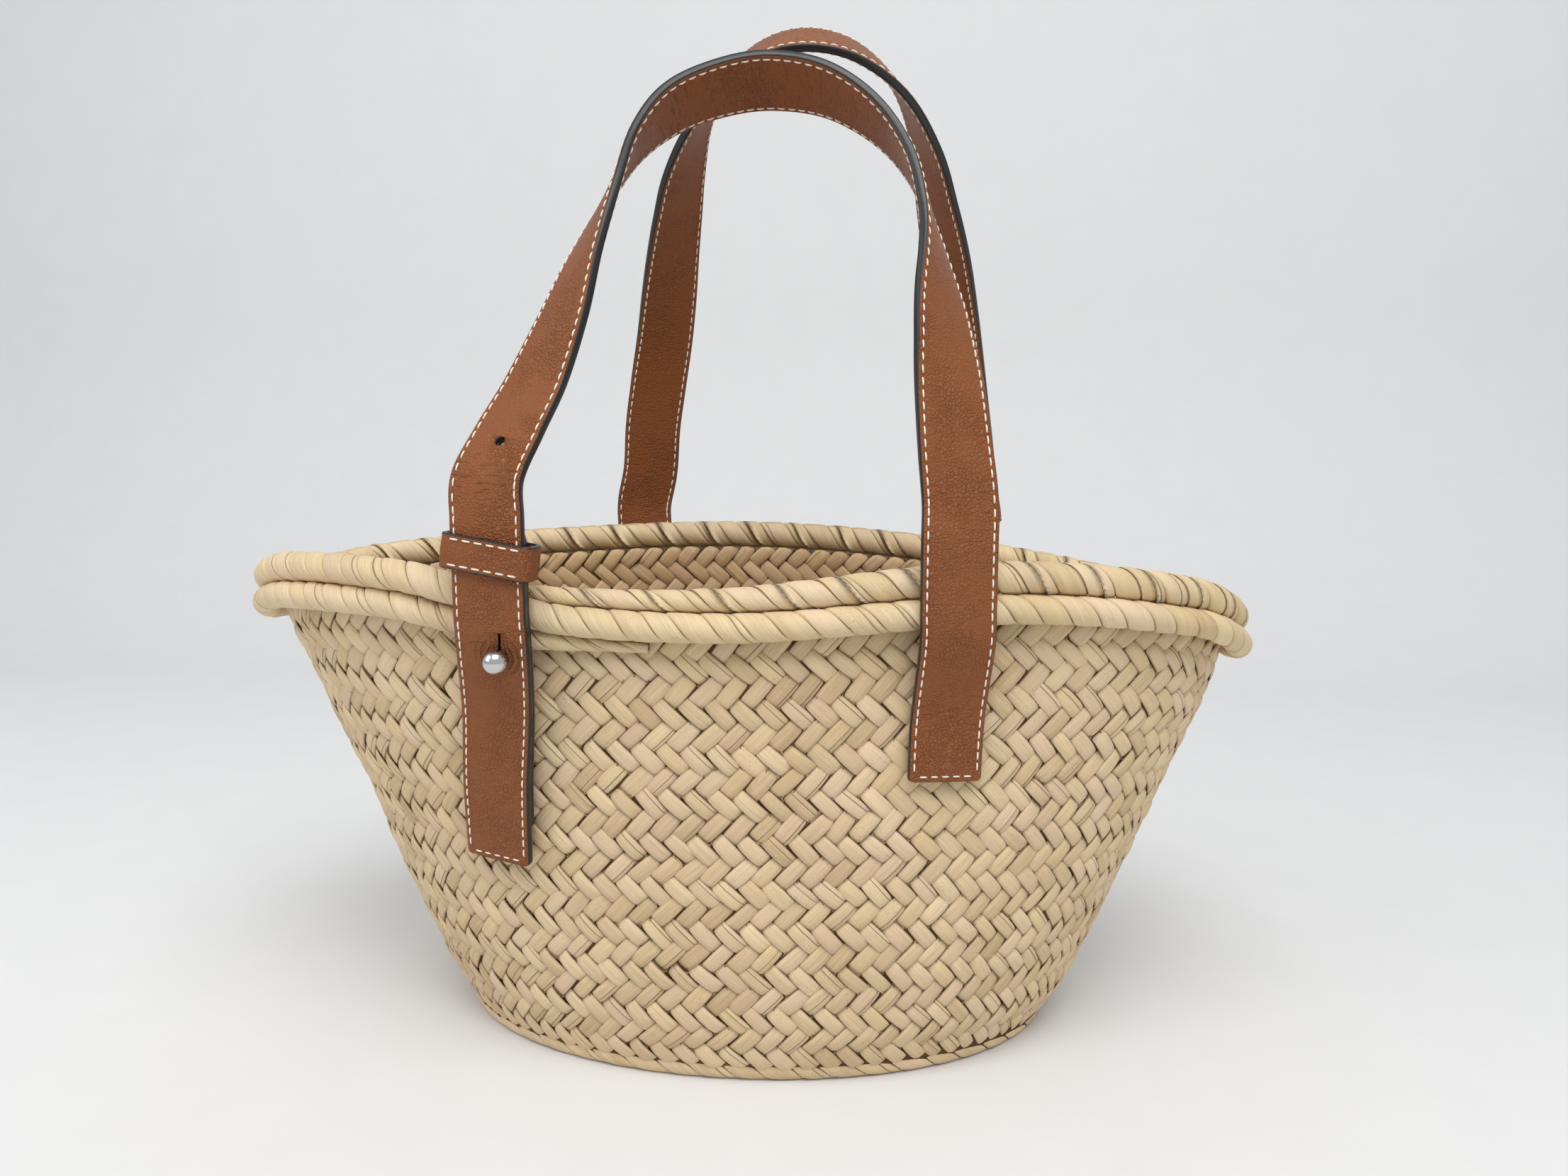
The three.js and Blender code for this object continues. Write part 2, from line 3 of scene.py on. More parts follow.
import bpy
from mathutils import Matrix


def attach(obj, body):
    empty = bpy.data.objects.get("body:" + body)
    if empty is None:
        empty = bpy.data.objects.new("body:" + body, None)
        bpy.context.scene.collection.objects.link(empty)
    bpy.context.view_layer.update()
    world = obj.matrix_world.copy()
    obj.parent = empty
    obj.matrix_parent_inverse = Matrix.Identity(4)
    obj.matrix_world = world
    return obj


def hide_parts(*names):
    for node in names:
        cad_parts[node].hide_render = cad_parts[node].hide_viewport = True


bl_info = {
    "name": "Straw basket bag",
    "version": (1, 0, 0),
    "blender": (4, 5, 0),
    "location": "View3D > Sidebar > Basket bag",
    "description": "Builds the plaited basket, its wrapped rim and its leather handles",
    "category": "Add Mesh",
}

import math

import bmesh
import bpy
import numpy as np
from mathutils import Vector

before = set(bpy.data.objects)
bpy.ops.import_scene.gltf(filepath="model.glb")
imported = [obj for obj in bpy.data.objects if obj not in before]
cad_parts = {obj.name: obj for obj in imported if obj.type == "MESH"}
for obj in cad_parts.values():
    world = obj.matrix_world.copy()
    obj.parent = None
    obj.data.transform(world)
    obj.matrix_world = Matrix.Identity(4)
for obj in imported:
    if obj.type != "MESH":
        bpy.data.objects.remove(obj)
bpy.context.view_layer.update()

MM = 0.001
BODY = "root"


# Sizes of the basket and the handles, in millimetres, as in the construction

MOUTH_LENGTH = 361
MOUTH_DEPTH = 154
WALL_HEIGHT = 168
FOOT_HEIGHT = 9
FOOT_THICKNESS = 5.5

ROLL_DIAMETER = 10.2
LOWER_ROLL_DIAMETER = 9.2
SEAM_ANGLE = 249
TAIL_TURN = 15
COURSE_DROP = 9.8
TAIL_DROP = 7.4
COURSE_OVERHANG = 2.5
START_THINNING = 0.45
TAIL_THINNING = 0.78
TIP_THINNING = 0.4

STRAP_WIDTH = 24
STRAP_THICKNESS = 3.6
LEATHER_THICKNESS = 3.1
KEEPER_LEG_SLANT = 5.5
PLAIN_LEG_SLANT = 3
LONG_END_HEIGHT = 80
SHORT_END_HEIGHT = 110

TAB_THICKNESS = 2.2
TAB_WIDTH = 22.6
TAB_TOP_HEIGHT = 197
TAB_END_HEIGHT = 92
KEEPER_THICKNESS = 1.6
KEEPER_HEIGHT = 11
KEEPER_PLAY = 1.5
KEEPER_DROP = 14
KEEPER_TILT = 8.5
STUD_HEIGHT = 152.5
STUD_SHIFT = 3
STUD_DIAMETER = 7.8
STUD_SEAT = 2.9
NECK_DIAMETER = 3
SPARE_HOLE_HEIGHT = 217
SPARE_HOLE_DIAMETER = 3.4
SLIT_LENGTH = 6
SLIT_WIDTH = 0.8

GAP = 0.35
SEAT_GAP = 0.7
STRAP_SEAT = 1.2
OVER_ROLL_GAP = 0.7
FOOT_SHARE = (FOOT_HEIGHT + GAP) / WALL_HEIGHT


def table(columns, rows):
    """A short table as one array for each named column."""
    return dict(zip(columns, np.array(rows, float).T))


OUTLINE = table(("height", "length", "depth", "shift", "square", "sway"), (
    (0.0, 0.592, 0.87, 0.015, 2.05, 0),
    (0.03, 0.627, 0.925, 0.015, 2.05, 0),
    (0.106, 0.672, 0.975, 0.02, 2.1, 0.03),
    (0.265, 0.738, 1.01, 0.017, 2.15, 0.15),
    (0.4, 0.789, 1.02, 0.015, 2.15, 0.3),
    (0.53, 0.833, 1.03, 0.016, 2.15, 0.45),
    (0.66, 0.885, 1.03, 0.008, 2.1, 0.6),
    (0.795, 0.934, 1.02, 0.004, 2.1, 0.78),
    (0.9, 0.969, 1.01, -0.005, 2.1, 0.9),
    (1.0, 0.993, 1.0, -0.015, 2.05, 1),
))

MOUTH_WAVE = table(("rise", "out"), (
    (0.869, 1.0),
    (0.905, 1.0),
    (0.963, 0.98),
    (1.003, 0.96),
    (0.988, 0.96),
    (0.961, 0.98),
    (0.929, 1.0),
    (0.994, 1.03),
    (1.004, 1.08),
    (0.978, 1.03),
    (1.009, 0.99),
    (0.961, 1.0),
))

ARCH_COLUMNS = ("across", "out", "rise", "turn", "lean")

FRONT_ARCH = table(ARCH_COLUMNS, (
    (-1.0, 1.15, 0.235, 10, 0),
    (-0.93, 1.055, 0.32, 15, 0),
    (-0.845, 0.95, 0.41, 23, 0),
    (-0.755, 0.845, 0.53, 34, 0.1),
    (-0.675, 0.743, 0.656, 50, 0.15),
    (-0.575, 0.625, 0.783, 66, 0.2),
    (-0.465, 0.556, 0.883, 79, 0.3),
    (-0.305, 0.5, 0.953, 88, 0.45),
    (-0.075, 0.456, 0.994, 90, 0.55),
    (0.15, 0.4375, 1.006, 90, 0.6),
    (0.4, 0.4625, 0.982, 91, 0.55),
    (0.625, 0.5125, 0.916, 93, 0.45),
    (0.78, 0.5875, 0.825, 95, 0.3),
    (0.855, 0.6875, 0.723, 100, 0.2),
    (0.89, 0.75, 0.64, 112, 0.15),
    (0.91, 0.8125, 0.566, 127, 0.1),
    (0.93, 0.8825, 0.485, 140, 0.1),
    (0.95, 0.9375, 0.4, 151, 0),
    (0.975, 0.985, 0.29, 160, 0),
    (1.0, 1.0, 0.19, 167, 0),
))

REAR_ARCH = table(ARCH_COLUMNS, (
    (-1.0, 1.045, 0.18, 9, 0),
    (-0.985, 1.02, 0.235, 11, 0),
    (-0.945, 0.965, 0.34, 16, 0),
    (-0.905, 0.885, 0.445, 23, 0),
    (-0.865, 0.78, 0.55, 31, 0.1),
    (-0.825, 0.65, 0.645, 42, 0.15),
    (-0.77, 0.5, 0.735, 53, 0.2),
    (-0.7, 0.33, 0.835, 66, 0.3),
    (-0.56, 0.185, 0.93, 79, 0.4),
    (-0.33, 0.095, 0.995, 88, 0.5),
    (-0.07, 0.065, 1.015, 90, 0.58),
    (0.175, 0.1, 0.995, 90, 0.55),
    (0.385, 0.19, 0.94, 95, 0.45),
    (0.525, 0.31, 0.87, 106, 0.3),
    (0.61, 0.43, 0.8, 120, 0.2),
    (0.665, 0.54, 0.73, 130, 0.15),
    (0.72, 0.66, 0.65, 140, 0.1),
    (0.765, 0.755, 0.565, 150, 0),
    (0.815, 0.855, 0.475, 160, 0),
    (0.87, 0.925, 0.38, 168, 0),
    (0.92, 0.98, 0.28, 172, 0),
    (0.95, 1.03, 0.18, 172, 0),
))

HANDLES = {
    "front": {"side": -1, "span": 143.5, "shift": 3.2, "reach": 80, "rise": 166, "arch": FRONT_ARCH},
    "rear": {"side": 1, "span": 144, "shift": 15.5, "reach": 78, "rise": 189, "arch": REAR_ARCH},
}

# Heights of the legs' stations over the wall's top
LEG_LEAVE = 36
LEG_UNDER_ROLL = -14
TAB_LEG_HEIGHTS = (LEG_UNDER_ROLL, -3, 9, 18, 27)
PLAIN_LEG_HEIGHTS = (LEG_UNDER_ROLL, -3, 8, 19)
LEG_RELAX = 0.15
TAB_LEG_TAUT = 0.45


# Curves and the wall

def mix(a, b, share):
    return a + (b - a) * share


def ease(start, end, value):
    share = np.clip((value - start) / (end - start), 0, 1)
    return share * share * (3 - 2 * share)


def curved(before, start, end, after, share):
    """A smooth curve through four neighbours, between the middle two."""
    slope_start = (end - before) / 2
    slope_end = (after - start) / 2
    rest = share - 1
    return (
        (1 + 2 * share) * rest * rest * start
        + share * rest * rest * slope_start
        + share * share * (3 - 2 * share) * end
        + share * share * rest * slope_end
    )


def unit(vectors):
    return vectors / np.linalg.norm(vectors, axis=-1, keepdims=True)


def wave(angle, column):
    rows = MOUTH_WAVE[column]
    place = np.mod(angle / 360, 1) * len(rows)
    row = np.floor(place).astype(int)
    near = [rows[(row + step) % len(rows)] for step in (-1, 0, 1, 2)]
    return curved(*near, place - row)


def outline_at(share, column):
    return np.interp(share, OUTLINE["height"], OUTLINE[column])


def wall_point(angle, share, outwards=0.0):
    """Points of the outer wall at angles round the mouth and shares of the height."""
    angle, share = np.broadcast_arrays(np.asarray(angle, float), np.asarray(share, float))
    power = 2 / outline_at(share, "square")
    sway = outline_at(share, "sway")

    def oval(turn):
        cosine, sine = np.cos(np.radians(turn)), np.sin(np.radians(turn))
        along = outline_at(share, "length") * np.sign(cosine) * np.abs(cosine) ** power
        across = outline_at(share, "depth") * np.sign(sine) * np.abs(sine) ** power
        swell = mix(1, wave(turn, "out"), sway)
        x = MOUTH_LENGTH / 2 * (outline_at(share, "shift") + along)
        return np.stack([x, MOUTH_DEPTH / 2 * across * swell], -1)

    here = oval(angle)
    along = unit(oval(angle + 0.5) - oval(angle - 0.5))
    height = WALL_HEIGHT * share * mix(1, wave(angle, "rise"), sway)
    return np.stack(
        [here[..., 0] + along[..., 1] * outwards, here[..., 1] - along[..., 0] * outwards, height], -1
    )


def search(low, high, test):
    for _ in range(30):
        middle = (low + high) / 2
        if test(middle):
            low = middle
        else:
            high = middle
    return (low + high) / 2


def wall_place(side, x, height):
    """The angle and share of the wall's point with that X and height, on the front or back."""
    share = height / WALL_HEIGHT
    for _ in range(6):
        level = share
        if side < 0:
            angle = search(180, 360, lambda turn: wall_point(turn, level)[0] < x)
        else:
            angle = search(0, 180, lambda turn: wall_point(turn, level)[0] > x)
        share = search(0, 1, lambda trial: wall_point(angle, trial)[2] < height)
    return angle, share


# Meshes

def mesh_object(name, points, faces, materials, face_material=None, attributes=None, smooth=True):
    """A mesh object from points in millimetres, with its materials and named attributes."""
    mesh = bpy.data.meshes.new(name)
    mesh.from_pydata((np.asarray(points) * MM).tolist(), [], [list(map(int, face)) for face in faces])
    for material in materials:
        mesh.materials.append(material)
    if face_material is not None:
        mesh.polygons.foreach_set("material_index", np.asarray(face_material, np.int32))
    mesh.polygons.foreach_set("use_smooth", np.full(len(mesh.polygons), smooth))
    for label, values in (attributes or {}).items():
        values = np.asarray(values, np.float32)
        kind = "FLOAT" if values.ndim == 1 else "FLOAT_VECTOR"
        layer = mesh.attributes.new(label, kind, "POINT")
        layer.data.foreach_set("value" if kind == "FLOAT" else "vector", values.ravel())
    mesh.validate()
    obj = bpy.data.objects.new(name, mesh)
    bpy.context.scene.collection.objects.link(obj)
    return obj


def face_outwards(obj):
    """Turns the faces of each closed shell outwards and joins points that coincide."""
    shell = bmesh.new()
    shell.from_mesh(obj.data)
    bmesh.ops.remove_doubles(shell, verts=shell.verts, dist=1e-6)
    bmesh.ops.dissolve_degenerate(shell, edges=shell.edges, dist=1e-7)
    bmesh.ops.recalc_face_normals(shell, faces=shell.faces)
    shell.to_mesh(obj.data)
    shell.free()


def grid_faces(rows, columns, closed=False):
    """Quads of a grid of points, row by row, closed across the columns where asked."""
    row = np.arange(rows - 1)[:, None]
    column = np.arange(columns if closed else columns - 1)[None, :]
    following = (column + 1) % columns
    corners = [row * columns + column, row * columns + following,
               (row + 1) * columns + following, (row + 1) * columns + column]
    return np.stack([np.broadcast_to(c, corners[0].shape) for c in corners], -1).reshape(-1, 4)


def finish_piece(obj, slot, *nodes):
    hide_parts(*nodes)
    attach(obj, BODY)
    return obj


# Shader expressions

class Wire:
    """A shader socket in a Python expression. Operators add Math nodes, add() any other."""

    def __init__(self, tree, socket=None):
        self.tree = tree
        self.socket = socket

    def add(self, kind, settings=(), inputs=(), output=0):
        node = self.tree.nodes.new(kind)
        for name, value in dict(settings).items():
            setattr(node, name, value)
        for name, value in dict(inputs).items():
            if isinstance(value, Wire):
                self.tree.links.new(value.socket, node.inputs[name])
            else:
                node.inputs[name].default_value = value
        return Wire(self.tree, node.outputs[output])

    def math(self, operation, *values):
        return self.add("ShaderNodeMath", {"operation": operation}, dict(enumerate(values)))

    def __add__(self, other):
        return self.math("ADD", self, other)

    def __radd__(self, other):
        return self.math("ADD", other, self)

    def __sub__(self, other):
        return self.math("SUBTRACT", self, other)

    def __rsub__(self, other):
        return self.math("SUBTRACT", other, self)

    def __mul__(self, other):
        return self.math("MULTIPLY", self, other)

    def __rmul__(self, other):
        return self.math("MULTIPLY", other, self)

    def __truediv__(self, other):
        return self.math("DIVIDE", self, other)

    def __gt__(self, other):
        return self.math("GREATER_THAN", self, other)

    def size(self):
        return self.math("ABSOLUTE", self)

    def clamped(self, low=0.0, high=1.0):
        return self.add("ShaderNodeClamp", (), {"Value": self, "Min": low, "Max": high})

    def stepped(self, low, high):
        """0 below low, 1 above high and smooth between them."""
        settings = {"interpolation_type": "SMOOTHSTEP"}
        values = {"Value": self, "From Min": low, "From Max": high}
        return self.add("ShaderNodeMapRange", settings, values)

    def attribute(self, name, output="Fac"):
        return self.add("ShaderNodeAttribute", {"attribute_name": name}, (), output)

    def space(self):
        """The point on the object, in metres."""
        return self.add("ShaderNodeTexCoord", (), (), "Object")

    def random(self, seed):
        """An even random number for each seed."""
        return self.add("ShaderNodeTexWhiteNoise", {"noise_dimensions": "1D"}, {"W": seed}, "Value")

    def split(self):
        parts = self.add("ShaderNodeSeparateXYZ", (), {"Vector": self})
        return [Wire(self.tree, socket) for socket in parts.socket.node.outputs]

    def joined(self, x, y, z):
        return self.add("ShaderNodeCombineXYZ", (), {"X": x, "Y": y, "Z": z})

    def noise(self, vector, scale, detail=2.0, roughness=0.5):
        values = {"Vector": vector, "Scale": scale, "Detail": detail, "Roughness": roughness}
        return self.add("ShaderNodeTexNoise", (), values)

    def mixed(self, factor, first, second):
        """A colour between two colours."""
        return self.add("ShaderNodeMix", {"data_type": "RGBA"}, {0: factor, 6: first, 7: second}, 2)


def new_material(name, roughness, metallic=0.0, specular=0.5):
    """A material with its shader's uniform values set, its shader and a wire to start from."""
    material = bpy.data.materials.new(name)
    material.use_nodes = True
    shader = material.node_tree.nodes["Principled BSDF"]
    shader.inputs["Roughness"].default_value = roughness
    shader.inputs["Metallic"].default_value = metallic
    shader.inputs["Specular IOR Level"].default_value = specular
    return material, shader, Wire(material.node_tree)


def connect(wire, shader, name):
    wire.tree.links.new(wire.socket, shader.inputs[name])


def bump(wire, shader, height, strength, distance):
    values = {"Height": height, "Strength": strength, "Distance": distance}
    connect(wire.add("ShaderNodeBump", (), values, "Normal"), shader, "Normal")


def rgba(colour):
    return (*colour, 1.0)


def shade_of(colour, factor):
    return tuple(channel * factor for channel in colour)


def palm_material(name, light, dark, shadow, speck_amount=0.5):
    """Palm strip: fine lengthwise fibres, a tone of its own for each strip, brown specks, and painted shade
    at the strips' edges and ends and in some split lines.
    """
    material, shader, wire = new_material(name, roughness=0.6, specular=0.35)
    place = wire.attribute("strip", "Vector")
    along, across, seed = place.split()
    tone = wire.attribute("tone")
    start = seed * 61.0
    fine = wire.joined(along * 0.07 + start, across * 6.5 + start, 0.0)
    fibres = wire.noise(fine, 1.0, 3.0, 0.7).stepped(0.3, 0.7)
    broad = wire.joined(along * 0.05 + start, across * 2.0 - start, 3.0)
    streaks = wire.noise(broad, 1.0, 1.0).stepped(0.3, 0.7)
    space = wire.space()
    patches = wire.noise(space, 26.0, 2.0).stepped(0.35, 0.65)
    blend = (tone * 0.55 + fibres * 0.3 + streaks * 0.22 + patches * 0.2 - 0.12).clamped()
    colour = wire.mixed(blend, rgba(dark), rgba(light))
    hue = wire.random(seed * 331.0)
    pinkish = rgba((light[0] * 0.92, light[1] * 0.87, light[2] * 1.0))
    colour = wire.mixed(hue.stepped(0.45, 0.95) * 0.5, colour, pinkish)
    yellowish = rgba((light[0] * 1.0, light[1] * 0.98, light[2] * 0.84))
    colour = wire.mixed((1.0 - hue.stepped(0.0, 0.35)) * 0.35, colour, yellowish)
    spots = wire.add("ShaderNodeTexVoronoi", (), {"Vector": space, "Scale": 1000.0}, "Distance")
    chosen = wire.noise(space, 90.0, 1.0).stepped(0.54, 0.64)
    specks = (1.0 - spots.stepped(0.12, 0.24)) * chosen * speck_amount
    colour = wire.mixed(specks.clamped(), colour, rgba(shade_of(dark, 0.4)))
    # Painted shade: on some strips a split line is darkened towards the gap colour; the split's groove is
    # in the bump.
    torn = wire.random(seed * 917.0)
    line = across - (torn * 1.3 - 0.65)
    crack = (1.0 - line.size().stepped(0.03, 0.09)) * (torn > 0.74)
    colour = wire.mixed(crack * 0.75, colour, rgba(shadow))
    # Painted shade: each strip's edges and ends, where it passes under its neighbours, and each wrap's
    # edges are darkened towards the gap colour.
    painted_edge_shade = wire.attribute("painted_edge_shade")
    colour = wire.mixed(painted_edge_shade.stepped(0.15, 1.0) * 0.72, colour, rgba(shadow))
    connect(colour, shader, "Base Color")
    connect(fibres * 0.2 + 0.46, shader, "Roughness")
    bump(wire, shader, fibres * 0.6 + streaks * 0.5 - crack * 0.9, 0.6, 0.0003)
    return material


def gap_shade_material(name, colour):
    """Painted shade: a dark sheet, with a little grain, that shows in the gaps between the strips."""
    material, shader, wire = new_material(name, roughness=0.85, specular=0.1)
    space = wire.space()
    grain = wire.noise(space, 260.0, 3.0)
    connect(wire.mixed(grain, rgba(shade_of(colour, 0.6)), rgba(colour)), shader, "Base Color")
    bump(wire, shader, grain, 0.4, 0.0004)
    return material


def leather_material(name, colour):
    """Smooth leather: small cells, tone patches, creases where it bends and puckers at the stud, both with
    painted shade in them.
    """
    material, shader, wire = new_material(name, roughness=0.5, specular=0.28)
    place = wire.attribute("hide", "Vector")
    along, across, side = place.split()
    bend = wire.attribute("bend")
    space = wire.space()
    cells = wire.add("ShaderNodeTexVoronoi", {"feature": "DISTANCE_TO_EDGE"},
                     {"Vector": space, "Scale": 850.0}, "Distance")
    pores = wire.noise(space, 900.0, 3.0)
    patches = wire.noise(space, 38.0, 3.0, 0.6)
    wobble = wire.noise(wire.joined(along * 0.05, across * 0.12, side), 1.0, 2.0)
    creases = wire.noise(wire.joined(along * 1.1 + wobble * 2.0, across * 0.16, side * 9.0), 1.0, 2.0)
    folds = creases.stepped(0.55, 0.75) * bend
    shade = (patches * 0.8 + pores * 0.2).clamped()
    tan = wire.mixed(shade, rgba(shade_of(colour, 0.8)), rgba(shade_of(colour, 1.18)))
    # Painted shade: the leather is darker in the creases where it bends; the creases' relief is in the
    # bump.
    tan = wire.mixed((folds * 0.35).clamped(), tan, rgba(shade_of(colour, 0.55)))
    from_stud = {0: wire.joined(along, across, 0.0)}
    away = wire.add("ShaderNodeVectorMath", {"operation": "LENGTH"}, from_stud, "Value")
    near = 1.0 - away.stepped(4.0, 10.5)
    beside = (across.size() / (away + 0.01)).stepped(0.35, 0.8)
    waves = wire.math("SINE", away * 3.1 + wire.noise(space, 160.0) * 3.0)
    pucker = near * beside * waves.stepped(0.1, 1.0)
    # Painted shade: the pucker creases round the stud are darkened; their relief is in the bump.
    tan = wire.mixed((pucker * 0.45).clamped(), tan, rgba(shade_of(colour, 0.35)))
    connect(tan, shader, "Base Color")
    connect(pores * 0.25 + 0.34, shader, "Roughness")
    grained = patches.stepped(0.4, 0.65) * 0.75 + 0.25
    height = cells.stepped(0.0, 0.25) * grained * 0.5 + pores * 0.3 - folds * 0.8 - pucker * 0.9
    bump(wire, shader, height, 1.0, 0.0008)
    return material


def plain_material(name, colour, roughness, metallic=0.0, grain_scale=700.0, grain=0.12, specular=0.5):
    """A finish that varies a little: edge paint, thread or polished metal."""
    material, shader, wire = new_material(name, roughness, metallic, specular)
    space = wire.space()
    value = wire.noise(space, grain_scale, 2.0)
    low = shade_of(colour, 1 - grain)
    high = tuple(min(channel, 1.0) for channel in shade_of(colour, 1 + grain))
    connect(wire.mixed(value, rgba(low), rgba(high)), shader, "Base Color")
    connect(value * 0.15 + (roughness - 0.07), shader, "Roughness")
    bump(wire, shader, value, 0.15, 0.0002)
    return material


def once(name, make, *values, **more):
    """The material of that name, made on its first use."""
    return bpy.data.materials.get(name) or make(name, *values, **more)


# Settings

def colour_setting(name, description, colour):
    return bpy.props.FloatVectorProperty(
        name=name, description=description, subtype="COLOR", size=3, min=0, max=1, default=colour
    )


def length_setting(name, description, millimetres):
    return bpy.props.FloatProperty(
        name=name, description=description, unit="LENGTH", default=millimetres * MM
    )


def power_setting(name, description, watts):
    return bpy.props.FloatProperty(name=name, description=description, unit="POWER", default=watts)


def count_setting(name, description, count):
    return bpy.props.IntProperty(name=name, description=description, default=count)


class BagPlaitSettings(bpy.types.PropertyGroup):
    """Sizes and colours of the plaited wall and its foot."""

    columns: count_setting("Columns", "Strips round the wall in each row", 98)
    rows: count_setting("Rows", "Rows of strips up the wall", 21)
    pitch: length_setting("Pitch", "Distance of the strips at the middle of the front", 8.2)
    bulge: length_setting("Bulge", "How far a strip stands out at its middle", 1.25)
    light: colour_setting("Light palm", "Colour of a clean dry strip", (0.8, 0.625, 0.39))
    dark: colour_setting("Dark palm", "Colour of a darker strip", (0.5, 0.345, 0.185))
    inside_light: colour_setting("Light inside", "Colour of a clean strip on the inside", (0.72, 0.52, 0.3))
    inside_dark: colour_setting("Dark inside", "Colour of a darker strip on the inside", (0.42, 0.26, 0.12))
    shadow: colour_setting("Gap colour", "Colour of the shaded edges and gaps", (0.13, 0.07, 0.03))


class BagRimSettings(bpy.types.PropertyGroup):
    """Sizes and colours of the wrapped rim roll."""

    pitch: length_setting("Wrap pitch", "Width of one wrap along the roll", 10.0)
    strands: count_setting("Strands", "Strips that are wrapped side by side", 2)
    light: colour_setting("Light wrap", "Colour of a clean wrap", (0.8, 0.645, 0.4))
    dark: colour_setting("Dark wrap", "Colour of a darker wrap", (0.53, 0.375, 0.19))


class BagLeatherSettings(bpy.types.PropertyGroup):
    """Sizes and colours of the handles' leather, thread and metal."""

    stitch_pitch: length_setting("Stitch pitch", "Distance from stitch to stitch on the straps", 3.6)
    stitch_length: length_setting("Stitch length", "Length of the thread that shows", 2.8)
    thread_diameter: length_setting("Thread", "Diameter of the thread", 0.62)
    stitch_inset: length_setting("Stitch inset", "Distance of the seam from the strap's edge", 1.7)
    leather: colour_setting("Leather", "Colour of the leather", (0.245, 0.076, 0.0215))
    edge: colour_setting("Edge paint", "Colour of the painted edges", (0.012, 0.011, 0.012))
    thread: colour_setting("Thread colour", "Colour of the thread", (0.8, 0.74, 0.64))
    metal: colour_setting("Metal", "Colour of the ball studs", (0.6, 0.6, 0.6))


class BagStageSettings(bpy.types.PropertyGroup):
    """The floor and the studio light."""

    floor: colour_setting("Floor", "Colour of the floor and backdrop", (0.745, 0.745, 0.745))
    key_power: power_setting("Key light", "Power of the large light", 14.5)
    fill_power: power_setting("Fill light", "Power of the second light", 3.0)
    world: bpy.props.FloatProperty(
        name="Ambient light", description="Strength of the even light", default=0.61
    )


# Plaited wall

UNDER_REACH = 1.24
STRIP_ENDS = 1.05
DEEPEST = -0.55
ALONG_STEPS = np.array([-UNDER_REACH, -1.04, -0.8, -0.42, 0, 0.42, 0.8, 1.04, UNDER_REACH])
ALONG_SHADE = np.array([1.0, 0.5, 0.08, 0, 0, 0, 0.08, 0.5, 1.0])
ACROSS_STEPS = np.array([-1.0, -0.86, -0.34, 0.34, 0.86, 1.0])
ACROSS_DROP = np.array([0.62, 0.14, 0.0, 0.0, 0.14, 0.62])
ACROSS_SHADE = np.array([1.0, 0.16, 0, 0, 0.16, 1.0])
FRONT_MIDDLE = 270
PLAIT_START = 5.0
OUTER_OFFSET = -1.4
INNER_OFFSET = -1.75
CORE_OUTSIDE = -1.55
CORE_INSIDE = -1.7
CORE_UNDERSIDE = 1.6
CORE_FLOOR = 2.1
BOTTOM_MARGIN = 3.5
BOTTOM_UPPER_LEVEL = 2.9
BOTTOM_LOWER_LEVEL = 1.9


def arc_table(pitch, columns, levels=90, steps=720):
    """For each level, the angle at each share of the way round, with an even pitch in front."""
    shares = np.linspace(0, 1, levels)
    turns = FRONT_MIDDLE + np.linspace(0, 360, steps + 1)
    ways = np.linspace(0, 1, columns * 8 + 1)
    found = []
    for share in shares:
        ring = wall_point(turns, share)
        length = np.concatenate([[0], np.cumsum(np.linalg.norm(np.diff(ring, axis=0), axis=1))])
        swing = pitch * columns - length[-1]
        wanted = length[-1] * ways + swing * np.sin(4 * np.pi * ways) / (4 * np.pi)
        found.append(np.interp(wanted, length, turns))
    return np.array(found)


def turn_at(arcs, way, share):
    """The angle at a share of the way round and a share of the height."""
    levels, steps = arcs.shape[0] - 1, arcs.shape[1] - 1
    rounds = np.floor(way)
    column = (way - rounds) * steps
    row = np.clip(share, 0, 1) * levels
    left = np.minimum(np.floor(column).astype(int), steps - 1)
    low = np.minimum(np.floor(row).astype(int), levels - 1)
    lower = mix(arcs[low, left], arcs[low, left + 1], column - left)
    upper = mix(arcs[low + 1, left], arcs[low + 1, left + 1], column - left)
    return mix(lower, upper, row - low) + 360 * rounds


